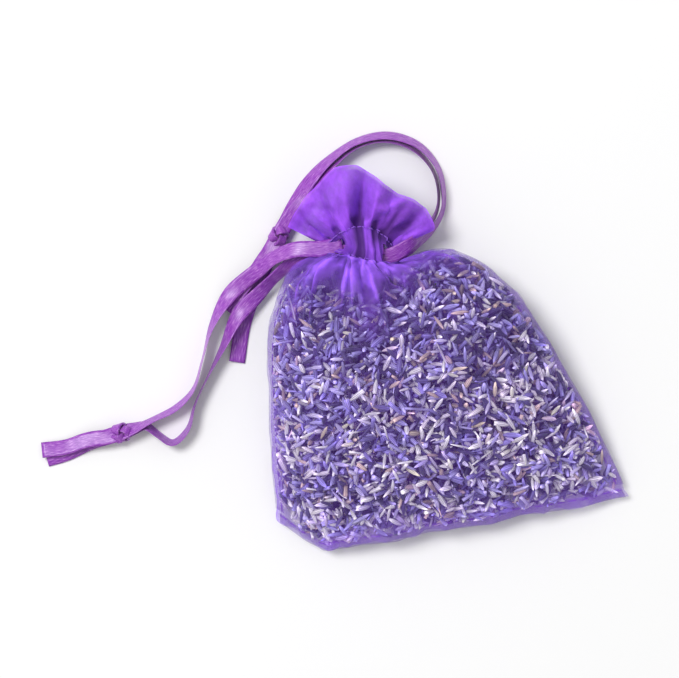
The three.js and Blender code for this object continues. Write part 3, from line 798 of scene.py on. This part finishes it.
def two_sides(name, mesh, finish, slot):
    """The front and the back half of a tube of cloth, as two pieces of the pouch."""
    halves = []
    for side in ("front", "back"):
        half_name = f"{side}_{name}"
        half = one_side(mesh, half_name, side == "front")
        made = piece(half_name, half, finish, "pouch", slot, half_name)
        finer = made.modifiers.new("finer", "SUBSURF")
        finer.levels = 1
        finer.render_levels = 1
        halves.append(made)
    return halves


def open_slots(mesh):
    """Leaves the casing open in both side seams, where the ribbons come out."""
    form = bmesh.new()
    form.from_mesh(mesh)
    uv = form.loops.layers.uv["cut"]
    slots = []
    for face in form.faces:
        around, up = np.mean([loop[uv].uv for loop in face.loops], axis=0)
        if abs(panel_side(around)) > slot_from and slot_ends[0] < up < slot_ends[1]:
            slots.append(face)
    bmesh.ops.delete(form, geom=slots, context="FACES")
    form.to_mesh(mesh)
    form.free()


casing_mesh = cloth_tube("casing", casing_rows, casing_form)
crease_cloth(casing_mesh, neck_creases, (), casing_crease_depth)
open_slots(casing_mesh)
casing_finish = organza(
    "gathered_organza", (0.30, 0.08, 0.76), cover=0.72, gathered=0.25, length=casing_length, neck=(-1.0, 0.0)
)
casings = two_sides("casing", casing_mesh, casing_finish, "organza")

# Front and back panels. Two cuts of sheer violet organza, sewn together along the sides and the bottom. They
# start as the drawn form, and a cloth simulation lets them settle over the buds and gather at the neck.
panel_rows = 56
cut_left = 60.0
cut_right = 72.0
neck_gather = 0.75
gathers_from = 0.45
shoulder_pleat = 0.9
long_folds = ((0.02, 0.09, 1.5), (-0.3, 0.06, 1.0), (-0.52, 0.05, 1.1), (-0.74, 0.05, 0.9), (0.34, 0.06, 0.8))
puff_from = 0.7
puff = 2.0
press_reach = 1.2
press_clear = 0.25
table_clear = 0.2
crease_depth = 0.45
# Strength, width and route of each crease: pressed in and painted darker where the strength is positive,
# raised and painted paler where it is negative.
panel_creases = (
    (0.9, 0.8, ((-18.4, 55.8), (-16.1, 53.7), (-14.2, 51.2), (-13.8, 47.0))),
    (0.7, 1.2, ((-18.4, 55.6), (-22.6, 54.4), (-26.2, 51.2), (-28.8, 47.0), (-30.6, 42.0), (-31.8, 34.0))),
    (-1.0, 0.8, ((-18.0, 54.4), (-22.0, 52.8), (-25.0, 49.8), (-27.4, 45.0), (-28.4, 40.0))),
    (0.8, 0.8, ((-17.6, 53.6), (-21.2, 51.4), (-24.0, 48.2), (-26.4, 43.0))),
    (-1.0, 0.7, ((-17.0, 52.8), (-20.0, 50.4), (-22.8, 47.2), (-24.8, 42.0))),
    (0.7, 0.8, ((-16.4, 52.0), (-18.6, 48.8), (-20.8, 44.0))),
    (-0.8, 0.6, ((-15.8, 51.6), (-17.2, 48.4), (-18.6, 43.6))),
    (0.9, 0.9, ((-9.6, 55.4), (-7.4, 53.1), (-4.8, 50.7), (-1.0, 48.0))),
    (-0.7, 0.6, ((-8.8, 50.8), (-7.0, 47.8), (-5.2, 44.6))),
    (0.6, 0.8, ((-10.0, 51.2), (-9.2, 47.2), (-8.4, 43.0))),
    (0.6, 1.0, ((-7.6, 52.0), (-4.0, 52.4), (0.4, 52.6), (5.0, 50.0))),
    (0.4, 1.2, ((-36.0, 9.0), (-31.0, 10.4), (-26.0, 10.8))),
    (-0.5, 0.8, ((-33.6, 5.6), (-28.0, 6.6), (-22.0, 5.8))),
    (0.4, 1.0, ((-31.0, 3.0), (-25.6, 4.4), (-19.0, 4.2))),
)
panel_layers = (
    (1.0, 2.3, ((-12.7, 52.0), (-13.0, 47.2), (-13.4, 43.4), (-14.2, 37.0))),
    (0.8, 2.0, ((-17.0, 54.0), (-21.4, 53.0), (-25.6, 49.6), (-28.8, 44.0), (-31.0, 36.0))),
    (0.7, 1.6, ((-15.0, 52.4), (-17.4, 48.6), (-19.6, 44.0))),
    (0.8, 2.0, ((-9.0, 51.4), (-6.4, 49.4), (-3.6, 46.6))),
    (0.6, 1.4, ((-7.0, 52.0), (-2.0, 51.8), (4.0, 49.6), (9.0, 45.0))),
    (0.5, 2.2, ((-37.0, 9.0), (-35.6, 20.0), (-34.0, 30.0), (-32.0, 40.0))),
    (0.4, 2.2, ((-28.0, 1.4), (-14.0, 1.8), (0.0, 2.2), (14.0, 2.2))),
    (0.4, 2.2, ((28.0, 1.4), (14.0, 1.8), (0.0, 2.2))),
)
sim_scale = 20.0
panel_frames = 40
back_clear = 0.15
puff_pleat = 0.25
folds_from = 0.5
cut_gap = 0.05
cloth_contact = 0.15
heap_contact = 0.1
casing_contact = 0.3
press_rings = 2


def outward(around):
    """Direction out of the neck."""
    angle = neck_angle(around)
    return np.stack([np.cos(angle), np.zeros_like(angle), np.sin(angle)], -1)


def panel_form(around, up):
    """The panels before they settle: drawn over the heap, puffed out above it, pleated towards the neck."""
    u = panel_side(around)
    points = middle(u, up)
    front = front_height(u, up)
    back = back_height(u, up) + back_clear
    points[..., 2] = np.where(up == 0, points[..., 2], np.where(around < 0.5, front, back))
    in_puff = np.clip((up - puff_from) / (1 - puff_from), 0, 1)
    overhang = np.sin(np.pi * in_puff) * np.cos(np.pi / 2 * u) ** 0.5
    points[..., 1] += puff * overhang * (1 + puff_pleat * gathers(around))
    shoulder = np.sin(np.pi * ease(folds_from, 1, up))
    pleats = gather_depth * ease(gathers_from, 1, up) + shoulder_pleat * shoulder
    crests = sum(height * np.exp(-(((u - place) / width) ** 2)) for place, width, height in long_folds)
    lift = pleats * gathers(around) + crests * shoulder
    return points + outward(around) * lift[..., None]


def panel_cut(around, up):
    """The panels as they are cut, flat, with the front just above the back."""
    u = panel_side(around)
    half = cut_width / 2 * (1 - (1 - neck_gather) * ease(gathers_from, 1, up))
    length = (cut_left + cut_right) / 2 + (cut_right - cut_left) / 2 * u
    layer = np.where(around < 0.5, cut_gap, -cut_gap) * (np.abs(u) < 0.999) * (up > 0)
    return np.stack([u * half, up * length, layer], -1)


def panel_held(around, up):
    """Whether a point is sewn at a seam or gathered at the neck, and stays in place."""
    return (np.abs(np.abs(panel_side(around)) - 1) < 1e-4) | (up == 0) | (up == 1)


def collider(mesh, thickness):
    """A body that the cloth can't pass, at the simulation's scale."""
    copy = mesh.copy()
    copy.transform(Matrix.Scale(sim_scale, 4))
    made = bpy.data.objects.new("collider", copy)
    scene.collection.objects.link(made)
    made.modifiers.new("collision", "COLLISION")
    made.collision.thickness_outer = thickness * mm * sim_scale
    made.collision.cloth_friction = 5.0
    return made


def settle(mesh, bodies):
    """The panels after their cloth has settled on the bodies, from the drawn form towards the flat cut."""
    around = read_attribute(mesh, "around").astype(float) % 1
    up = read_attribute(mesh, "up").astype(float)
    mesh.transform(Matrix.Scale(sim_scale, 4))
    cloth = bpy.data.objects.new("settling", mesh)
    scene.collection.objects.link(cloth)
    cloth.shape_key_add(name="form")
    flat = cloth.shape_key_add(name="flat")
    flat.data.foreach_set("co", (panel_cut(around, up) * mm * sim_scale).astype(np.float32).ravel())
    pinned = cloth.vertex_groups.new(name="held")
    pinned.add([int(k) for k in np.nonzero(panel_held(around, up))[0]], 1.0, "REPLACE")
    modifier = cloth.modifiers.new("cloth", "CLOTH")
    settings = modifier.settings
    settings.quality = 6
    settings.mass = 0.15
    settings.tension_stiffness = 25.0
    settings.compression_stiffness = 25.0
    settings.shear_stiffness = 12.0
    settings.bending_stiffness = 1.2
    settings.tension_damping = 15.0
    settings.compression_damping = 15.0
    settings.shear_damping = 8.0
    settings.bending_damping = 2.0
    settings.air_damping = 4.0
    settings.vertex_group_mass = "held"
    settings.pin_stiffness = 5.0
    settings.rest_shape_key = flat
    contact = modifier.collision_settings
    contact.distance_min = cloth_contact * mm * sim_scale
    contact.collision_quality = 3
    modifier.point_cache.frame_start = 1
    modifier.point_cache.frame_end = panel_frames
    for number in range(1, panel_frames + 1):
        scene.frame_set(number)
    settled = bpy.data.meshes.new_from_object(cloth.evaluated_get(bpy.context.evaluated_depsgraph_get()))
    settled.transform(Matrix.Scale(1 / sim_scale, 4))
    for used in (cloth, *bodies):
        bpy.data.objects.remove(used)
    scene.frame_set(1)
    return settled


def press_on_buds(mesh):
    """Draws the cloth in until it rests on the buds under it, and keeps it above the table."""
    form = bmesh.new()
    for buds in bud_pieces:
        form.from_mesh(buds.data)
    skin = BVHTree.FromBMesh(form)
    form.free()
    form = bmesh.new()
    form.from_mesh(mesh)
    form.normal_update()
    form.verts.index_update()
    around = [[vert.index] + [edge.other_vert(vert).index for edge in vert.link_edges] for vert in form.verts]
    gaps = np.full(len(around), press_reach * mm)
    for vert in form.verts:
        _, _, _, gap = skin.ray_cast(vert.co, -vert.normal, press_reach * mm)
        if gap is not None:
            gaps[vert.index] = gap
    for _ in range(press_rings):
        gaps = np.array([gaps[near].min() for near in around])
    for vert, gap in zip(form.verts, gaps):
        if not vert.is_boundary and gap < press_reach * mm:
            vert.co -= vert.normal * max(gap - press_clear * mm, 0)
        vert.co.z = max(vert.co.z, table_clear * mm)
    form.to_mesh(mesh)
    form.free()


panel_mesh = cloth_tube("panels", panel_rows, panel_form)
contacts = ((heap_mesh, heap_contact), (table_mesh, heap_contact), (casing_mesh, casing_contact))
panel_mesh = settle(panel_mesh, [collider(*contact) for contact in contacts])
press_on_buds(panel_mesh)
crease_cloth(panel_mesh, panel_creases, panel_layers, crease_depth)
panel_finish = organza(
    "organza",
    (0.215, 0.075, 0.58),
    cover=0.14,
    gathered=0.65,
    length=cut_left,
    neck=(0.68, 1.0),
    layer_light=0.7,
)
panels = two_sides("panel", panel_mesh, panel_finish, "organza")

# Ruffle. The pouch's header, doubled over above the casing, springs open into a fan as the neck is drawn in.
# The left lobe lies broad and smooth, the right one in deep folds, and a deep hollow parts them.
ruffle_length = 15.0
ruffle_rows = 26
reach_turns = (12, 30, 40, 51, 63, 72, 82, 95, 110, 126, 143)
front_reach = (15.4, 16.2, 15.6, 14.8, 15.4, 16.8, 18.4, 18.5, 16.6, 15.8, 15.3)
back_reach = (15.0, 15.6, 15.2, 14.4, 15.0, 16.4, 17.8, 17.9, 16.2, 15.2, 14.8)
front_folds = (
    (77, 3.0, 1.2, 7, 4), (65, -1.0, -0.6, 6, 2), (56, 1.8, 0.7, 6, -8), (32, 1.6, 1.0, 6, -9),
    (92, -0.8, -0.6, 8, 3), (105, 1.1, 0.8, 5, 8), (117, -0.6, -0.2, 6, 4), (128, 1.4, 0.9, 5, 9),
    (138, 0.6, 0.8, 4, 0),
)
back_folds = (
    (82, -2.2, -2.2, 9, 4), (60, -2.0, -2.4, 8, -3), (38, -1.4, -1.8, 7, -6), (22, -1.0, -1.2, 5, 0),
    (110, -2.2, -2.6, 9, 5), (130, -1.4, -1.8, 6, 6),
)
fold_draw = 0.9
valley_draw = 0.15
ruffle_rise = 4.8
ruffle_fall = 4.0
ruffle_low = 2.3
corner_drop = 1.2
front_bow = 2.4
back_bow = -1.5
rim_curl = 0.9
rim_waves = 5
ruffle_crease_depth = 1.0


def ruffle_form(around, up):
    """The ruffle, from the top of the casing in a bow to its rim, with a valley along each fold."""
    u = panel_side(around)
    front = around < 0.5
    fan = fan_turn(around)
    reach = np.where(front, np.interp(fan, reach_turns, front_reach), np.interp(fan, reach_turns, back_reach))
    arch = np.sin(np.pi * (1 - u) / 2) ** 0.7
    bulge = np.where(front, ruffle_rise, -ruffle_fall) * arch - corner_drop * np.abs(u) ** 3
    start = casing_form(around, np.ones_like(up))
    lift = np.zeros_like(fan)
    shift = np.zeros_like(fan)
    for side, places in ((front, front_folds), (~front, back_folds)):
        for place, depth, rim_depth, width, lean in places:
            away = (fan - place - lean * (1 - up)) / width
            valley = np.exp(-np.abs(away) ** 1.5) * side
            deep = depth * np.sin(np.pi * up**0.7) + rim_depth * up**2
            lift = lift - deep * valley
            reach = reach - valley_draw * np.maximum(rim_depth, 0) * valley
            shift = shift - fold_draw * np.abs(deep) * away * valley
    lift = lift + front * rim_curl * up**6 * np.cos(np.radians(rim_waves * fan))
    turn = np.radians(fan + shift)
    x = fan_centre[0] + reach * np.cos(turn)
    y = fan_centre[1] + reach * np.sin(turn)
    rim = np.stack([x, y, neck_place[2] + bulge], -1)
    bow = np.where(front, front_bow, back_bow) * (1 - u * u)
    bend = (start + rim) / 2 + np.stack([0 * u, 0 * u, bow], -1)
    t = up[..., None]
    cloth = (1 - t) ** 2 * start + 2 * t * (1 - t) * bend + t**2 * rim
    cloth[..., 2] = np.maximum(cloth[..., 2] + lift, ruffle_low)
    return cloth


ruffle_mesh = cloth_tube("ruffle", ruffle_rows, ruffle_form)
crease_cloth(ruffle_mesh, neck_creases, (), ruffle_crease_depth)
ruffle_finish = organza(
    "ruffle_organza",
    (0.36, 0.09, 0.87),
    cover=0.72,
    gathered=0.2,
    length=ruffle_length,
    neck=(0.9, 0.0),
    edge_light=0.5,
)
ruffles = two_sides("ruffle", ruffle_mesh, ruffle_finish, "ruffle_organza")

# Drawstrings. Two satin ribbons run round the neck in opposite directions. Each comes out at one side as two
# strands, knotted together, with their cut ends left free, and lies loose on the table.
ribbon_width = 3.0
ribbon_thick = 0.2
ribbon_step = 0.7
ribbon_strips = 6
route_steps = 24
roll_evening = 5
lift_evening = 3
strand_lift = 0.375
inside_length = 4.3
left_band = 56.5
right_band = 52.9
knot_reach = 2.5
knot_steps = 73
knot_size = (0.48, 0.42, 0.75)
knot_stand = (1, 1, 1.6)
knot_width = 1.7
knot_thick = 0.5
satin_threads = (60.0, 26.0)
# How dark the painted shade between the satin's painted sparkle highlights is.
satin_painted_shade = 0.78


def run_along(points):
    """How far along a line each of its points lies."""
    return np.concatenate([[0], np.cumsum(np.linalg.norm(np.diff(points, axis=0), axis=1))])


def smooth_route(points, step):
    """Points at even steps along a smooth line through the given ones."""
    points = np.asarray(points, float)
    run = np.vstack([2 * points[0] - points[1], points, 2 * points[-1] - points[-2]])
    knots = np.concatenate([[0], np.cumsum(np.sqrt(np.linalg.norm(np.diff(run, axis=0), axis=1)))])
    fine = []
    for k in range(1, len(run) - 2):
        t = np.linspace(knots[k], knots[k + 1], route_steps, endpoint=False)[:, None]
        p0, p1, p2, p3 = run[k - 1 : k + 3]
        t0, t1, t2, t3 = knots[k - 1 : k + 3]
        a1 = (t1 - t) / (t1 - t0) * p0 + (t - t0) / (t1 - t0) * p1
        a2 = (t2 - t) / (t2 - t1) * p1 + (t - t1) / (t2 - t1) * p2
        a3 = (t3 - t) / (t3 - t2) * p2 + (t - t2) / (t3 - t2) * p3
        b1 = (t2 - t) / (t2 - t0) * a1 + (t - t0) / (t2 - t0) * a2
        b2 = (t3 - t) / (t3 - t1) * a2 + (t - t1) / (t3 - t1) * a3
        fine.append((t2 - t) / (t2 - t1) * b1 + (t - t1) / (t2 - t1) * b2)
    fine = np.vstack([*fine, points[-1:]])
    run_length = run_along(fine)
    even = np.linspace(0, run_length[-1], int(round(run_length[-1] / step)) + 1)
    return np.stack([np.interp(even, run_length, fine[:, axis]) for axis in range(3)], -1)


def ribbon_mesh(name, route, faces, width, thickness, closed=False):
    """A ribbon along a route, in metres. faces are the directions that its flat side looks in."""
    count = len(route)
    tangents = np.gradient(route, axis=0)
    if closed:
        tangents = np.roll(route[:-1], -1, axis=0) - np.roll(route[:-1], 1, axis=0)
        tangents = np.vstack([tangents, tangents[:1]])
    across = unit(np.cross(tangents, faces))
    form = bmesh.new()
    form.loops.layers.uv.new("ribbon")
    row_layer = form.verts.layers.int.new("row")
    under = form.faces.layers.float.new("under")
    verts, along, side = add_grid(form, count - 1, ribbon_strips)
    rows = np.round(along * (count - 1)).astype(int)
    points = route[rows] + across[rows] * ((side - 0.5) * width)[:, None]
    for vert, row, point in zip(verts, rows, points):
        vert[row_layer] = row
        vert.co = point
    if closed:
        bmesh.ops.remove_doubles(form, verts=form.verts, dist=1e-6)
    bmesh.ops.solidify(form, geom=form.faces[:], thickness=thickness)
    bmesh.ops.recalc_face_normals(form, faces=form.faces)
    for face in form.faces:
        face[under] = float(face.normal.dot(faces[face.verts[0][row_layer]]) < 0)
    mesh = finished(form, name)
    mesh.shade_smooth()
    return mesh


def satin(name, colour, gloss, underside):
    """Satin weave: fine lengthwise threads on the face, with painted shade and painted sparkle highlights
    along them, and a darker underside.
    """
    ribbon = new_material(name)
    uv = add_node(ribbon, "UVMap", {}, uv_map="ribbon").outputs["UV"]
    threads = noise(ribbon, stretched(ribbon, uv, *satin_threads), 3.0)
    shade = [part * satin_painted_shade for part in colour]
    # Painted shade and painted sparkle highlights along the threads, in the colour of the face.
    face = tones(ribbon, threads, (0.3, shade), (0.48, colour), (0.85, gloss))
    under = add_node(ribbon, "Attribute", {}, attribute_name="under").outputs["Fac"]
    surface(ribbon, {
        "Base Color": shaded(ribbon, face, ramp(ribbon, under, 0.0, 1.0, 1.0, underside)),
        "Roughness": 0.34,
        "Specular IOR Level": 0.55,
        "Anisotropic": 0.6,
        "Sheen Weight": 0.5,
        "Sheen Roughness": 0.3,
        "Sheen Tint": (*gloss, 1.0),
    })
    bumped(ribbon, threads, 0.2, 0.05)
    return ribbon


def evened(values, reach):
    """The values, each averaged with those up to reach places away."""
    count = 2 * reach + 1
    return np.convolve(np.pad(values, reach, mode="edge"), np.ones(count) / count, "valid")


def rolled(route, rolls):
    """The directions that a ribbon's flat side looks in, for its roll in degrees at shares of its length."""
    share = np.linspace(0, 1, len(route))
    angle = evened(np.radians(np.interp(share, *zip(*rolls))), roll_evening)
    tangents = unit(np.gradient(route, axis=0))
    flat = unit(np.cross(tangents, (0.0, 0.0, 1.0)))
    up = np.cross(flat, tangents)
    return np.cos(angle)[:, None] * up + np.sin(angle)[:, None] * flat


def off_table(route, faces):
    """The route raised where the ribbon's lower edge would pass through the table."""
    across = unit(np.cross(np.gradient(route, axis=0), faces))
    need = (ribbon_width / 2 * np.abs(across[:, 2]) + ribbon_thick + table_clear / 2) * mm
    lift = evened(np.maximum(need - route[:, 2], 0), lift_evening)
    raised = route.copy()
    raised[:, 2] = np.maximum(route[:, 2] + lift, need)
    return raised


def drawstring(side, exit_place, out, knot, heading, strands, ends, rolls, feed=None):
    """One drawstring: two ribbons from the neck through a knot to their cut ends."""
    knot = np.array(knot)
    heading = np.array(heading) / np.linalg.norm(heading)
    body = side + "_drawstring"
    for letter, layer in (("a", strand_lift), ("b", -strand_lift)):
        rise = np.array([0.0, 0.0, layer])
        start = np.array([*exit_place, neck_place[2]]) + rise
        inside = [start - np.array([out * depth, 0, 0]) for depth in (inside_length, inside_length / 2, 0)]
        through = [knot - heading * knot_reach + rise, knot + heading * knot_reach + rise]
        places = in_frame([*inside, *strands[letter], *through, *ends[letter]])
        route = smooth_route(places, ribbon_step * mm)
        faces = rolled(route, rolls[letter])
        route = off_table(route, faces)
        name = f"{side}_ribbon_{letter}"
        mesh = ribbon_mesh(name, route, faces, ribbon_width * mm, ribbon_thick * mm)
        stands_for = (f"{side}_strand_{letter}", f"{side}_end_{letter}")
        made = piece(name, mesh, satin_finish, body, "satin_ribbon", *stands_for, feed=feed)
    name = side + "_knot"
    turn = np.linspace(0, 2 * math.pi, knot_steps)
    turns = [np.sin(turn) + 2 * np.sin(2 * turn), np.cos(turn) - 2 * np.cos(2 * turn), -np.sin(3 * turn)]
    shape = np.stack([heading, (-heading[1], heading[0], 0.0), (0.0, 0.0, 1.0)])
    tie = np.stack(turns, -1) * knot_size @ shape
    route = in_frame(knot + tie)
    mesh = ribbon_mesh(name, route, tie * knot_stand, knot_width * mm, knot_thick * mm, closed=True)
    tied = piece(name, mesh, satin_finish, body, "satin_ribbon", name)


satin_finish = satin("violet_satin", colour=(0.28, 0.04, 0.47), gloss=(0.80, 0.40, 0.88), underside=0.4)
left_strands = {
    "a": [(-24.5, 57.2, 8), (-28.6, 56.6, 5.9), (-33, 54.4, 3), (-38.4, 51.2, 2.3), (-42.8, 46, 2.2),
          (-45.8, 39.8, 2.5), (-48.4, 34.8, 2.4), (-52.2, 32, 1.7), (-56.8, 30.6, 1.9)],
    "b": [(-24.3, 55.5, 6.5), (-29.2, 53, 3.6), (-33.2, 50.2, 2.5), (-37.6, 47, 2.3), (-41.4, 41.8, 2.1),
          (-45.2, 36.8, 1.1), (-48.6, 32, 0.8), (-50.8, 27.6, 0.6), (-54, 25.6, 0.6), (-56.4, 27.6, 0.8),
          (-58.4, 29.6, 1.2)],
}
left_ends = {
    "a": [(-69.8, 29, 1.8), (-74, 28.4, 1.2), (-78.6, 28.6, 1)],
    "b": [(-69.6, 28.4, 0.9), (-74, 27.2, 0.6), (-78, 26.8, 0.5)],
}
left_rolls = {
    "a": [(0, 0), (0.1, 0), (0.19, 45), (0.28, -25), (0.36, 40), (0.44, 76), (0.52, 84), (0.6, 72),
          (0.67, 60), (0.74, 80), (0.82, 0), (0.92, 25), (1, 10)],
    "b": [(0, 0), (0.1, 0), (0.18, -60), (0.27, -20), (0.36, 50), (0.45, 78), (0.53, 84), (0.6, 76),
          (0.67, 60), (0.74, 75), (0.82, 0), (0.92, -20), (1, -8)],
}
left_knot = (-63.3, 29.2, 1.7)
left_exit = (-20.2, left_band)
left_heading = (-1, -0.12, 0)
drawstring("left", left_exit, -1, left_knot, left_heading, left_strands, left_ends, left_rolls)
right_strands = {
    "a": [(-3.6, 54.2, 8), (0, 56.6, 6), (2.8, 59.8, 3.2), (3.8, 63.4, 1.6), (3.4, 67.6, 1.25),
          (0.8, 71.8, 1.25), (-3.8, 74.4, 1.25), (-9.4, 74.4, 1.25), (-14.8, 72, 1.25), (-19.4, 68.6, 1.3),
          (-23, 65.2, 1.8)],
    "b": [(-3.2, 54, 6.4), (0.8, 56, 3.8), (3.8, 59.4, 1.4), (4.8, 63.4, 0.6), (4.4, 68, 0.55),
          (1.6, 72.6, 0.55), (-3.6, 75.4, 0.55), (-9.6, 75.4, 0.55), (-15.2, 73, 0.55), (-19.8, 69.6, 0.6),
          (-23.2, 65.8, 0.9)],
}
right_ends = {
    "a": [(-32, 55.6, 1.6), (-35.8, 52, 1.3), (-39.6, 48.4, 1.2)],
    "b": [(-31, 55.4, 0.8), (-34, 50.6, 0.55), (-37, 45.2, 0.55), (-39.4, 38.4, 0.55)],
}
right_rolls = {
    "a": [(0, 0), (0.06, 0), (0.12, 62), (0.2, 76), (0.28, 78), (0.4, 68), (0.52, 80), (0.62, 50),
          (0.72, 0), (0.8, 0), (0.9, 40), (1, 10)],
    "b": [(0, 0), (0.06, 0), (0.12, 62), (0.2, 74), (0.28, 70), (0.4, 55), (0.52, 65), (0.62, 30),
          (0.72, 0), (0.8, 0), (0.9, -12), (1, -8)],
}
right_knot = (-27.4, 60.4, 1.7)
right_feed = in_frame([(3.8, 64.6, 0), (-4, 72.4, 0)])
right_exit = (-7.2, right_band)
right_heading = (-0.64, -0.77, 0)
drawstring(
    "right", right_exit, 1, right_knot, right_heading, right_strands, right_ends, right_rolls, right_feed
)

# Drawstring loops. The stretch of each satin ribbon that runs round the neck inside the casing, where the
# gathers crumple it. Each one goes round once and comes back to its slot in the side seam.
loop_a = 3.3
loop_b = 1.7
loop_crumple = 0.04
loop_steps = 121
left_loop_rise = 3.2
right_loop_rise = 0.4


def neck_loop(name, height):
    """A closed loop of ribbon round the neck."""
    around = np.linspace(0, 1, loop_steps) % 1
    ring = neck_ring(around, loop_a, loop_b, loop_crumple * gathers(around))
    ring[:, :2] += height * along_neck
    route = in_frame(ring)
    mesh = ribbon_mesh(name, route, outward(around), ribbon_width * mm, ribbon_thick * mm, closed=True)
    piece(name, mesh, satin_finish, "pouch", "satin_ribbon", name)


neck_loop("left_drawstring_loop", left_loop_rise)
neck_loop("right_drawstring_loop", right_loop_rise)

# Gathered hem. The edge of the organza header, turned in and bunched up inside the ribbons, so that it fills
# the neck. The rows of stitches that close the casing hold it.
hem_a = 2.1
hem_b = 0.6
hem_pleat = 0.3
hem_folds = 18
hem_length = 6.5
hem_drop = 1


def hem_form(around, up):
    """Even small folds round the inside of the neck, uneven where the gathers press on them."""
    size = hem_pleat * np.cos(2 * np.pi * hem_folds * around) + hem_pleat / 3 * gathers(around)
    ring = neck_ring(around, hem_a, hem_b, size)
    ring[..., :2] += (hem_length * up - hem_drop)[..., None] * along_neck
    return ring


hem_mesh = cloth_tube("gathered_hem", casing_rows, hem_form)
hem_mesh.shade_smooth()
piece("gathered_hem", hem_mesh, casing_finish, "pouch", "organza", "gathered_hem")

# Seams. The panels' edges, turned in and folded double along both sides and the bottom, in the same organza.
# A line of small straight stitches in violet thread holds each of them.
seam_width = 2.2
seam_gap = 0.22
seam_strips = 8
side_strips = 60
bottom_strips = 70
fold_inset = 0.25
fold_round = 0.02
fold_flatness = 3
side_from = 0.03
side_share = 0.92
inside_side = 0.97
bottom_from = -0.97
bottom_share = 1.94
inside_bottom = 0.02
stitch_pitch = 2.2
stitch_inset = 1.7
stitch_share = 0.8
thread_width = 0.28
line_steps = 400


def folded_strip(name, edge, inward, count):
    """A U-folded band of cloth: edge(share) runs along its fold, inward(share) points into the pouch."""
    form = bmesh.new()
    form.loops.layers.uv.new("cut")
    verts, share, fold = add_grid(form, count, seam_strips)
    fold = fold * 2 - 1
    depth = fold_inset + seam_width * (np.sqrt(fold_round + fold**2) - math.sqrt(fold_round))
    points = edge(share) + inward(share) * depth[:, None]
    points[:, 2] += seam_gap * np.tanh(fold_flatness * fold)
    for vert, point in zip(verts, in_frame(points)):
        vert.co = point
    mesh = finished(form, name)
    mesh.shade_smooth()
    return mesh


def side_line(side):
    """The edge and the way inward along one side seam, each for shares of its length."""

    def edge(share):
        return middle(np.full_like(share, side), side_from + side_share * share)

    def inward(share):
        inside = middle(np.full_like(share, side * inside_side), side_from + side_share * share)
        return unit(inside - edge(share))

    return edge, inward


def bottom_run(share):
    """The edge along the bottom seam."""
    return middle(bottom_from + bottom_share * share, np.zeros_like(share))


def bottom_inward(share):
    """The way inward along the bottom seam."""
    inside = middle(bottom_from + bottom_share * share, np.full_like(share, inside_bottom))
    return unit(inside - bottom_run(share))


def thread_stitches(name, places, directions, length):
    """Short plump stitches of thread."""
    form = bmesh.new()
    bmesh.ops.create_uvsphere(form, u_segments=6, v_segments=5, radius=0.5)
    single = finished(form, "stitch")
    form = bmesh.new()
    size = (thread_width * mm, thread_width * mm, length * mm)
    for place, direction in zip(places, directions):
        add_copy(form, single, place, direction, 0.0, size)
    mesh = finished(form, name)
    mesh.shade_smooth()
    return mesh


thread_finish = new_material("violet_thread")
thread_place = add_node(thread_finish, "TexCoord", {}).outputs["Object"]
ply = noise(thread_finish, thread_place, 2.0, 2500.0)
ply_tone = tones(thread_finish, ply, (0.0, (0.18, 0.05, 0.48)), (1.0, (0.40, 0.18, 0.82)))
surface(thread_finish, {"Base Color": ply_tone, "Roughness": 0.6, "Specular IOR Level": 0.2})

seam_finish = organza(
    "seam_organza", (0.26, 0.10, 0.68), cover=0.16, gathered=0.1, length=cut_left, neck=(-1.0, 0.0)
)
seam_lines = {
    "left_side_seam": (*side_line(-1), side_strips),
    "right_side_seam": (*side_line(1), side_strips),
    "bottom_seam": (bottom_run, bottom_inward, bottom_strips),
}
for name, (edge, inward, count) in seam_lines.items():
    piece(name, folded_strip(name, edge, inward, count), seam_finish, "pouch", "organza", name)
    fine = np.linspace(0, 1, line_steps)
    run = run_along(edge(fine) + inward(fine) * stitch_inset)
    even = np.interp(np.arange(1, run[-1], stitch_pitch), run, fine)
    places = edge(even) + inward(even) * stitch_inset
    directions = np.gradient(places, axis=0)
    stitches = thread_stitches(name + "_stitches", in_frame(places), directions, stitch_pitch * stitch_share)
    piece(name + "_stitches", stitches, thread_finish, "pouch", "thread")

# Rows of stitches. Two rounds of running stitch in the same violet thread close the casing above and below
# the ribbons, and the gathers draw them in.
row_stitches = 46
row_stitch_length = 0.9
stitch_reach = 0.004
stitch_proud = 0.1
for name, place in (("lower_stitch_row", 0.1), ("upper_stitch_row", 1.0)):
    in_row = np.abs(read_attribute(casing_mesh, "up") - place) < 0.01
    turns = read_attribute(casing_mesh, "around")[in_row]
    ring = mesh_points(casing_mesh)[in_row]
    around = np.arange(row_stitches) / row_stitches
    before, places, after = (
        np.stack([np.interp(around + step, turns, ring[:, axis], period=1) for axis in range(3)], -1)
        for step in (-stitch_reach, 0, stitch_reach)
    )
    places = places + outward(around) * stitch_proud * mm
    stitches = thread_stitches(name, places, after - before, row_stitch_length)
    piece(name, stitches, thread_finish, "pouch", "thread", name)
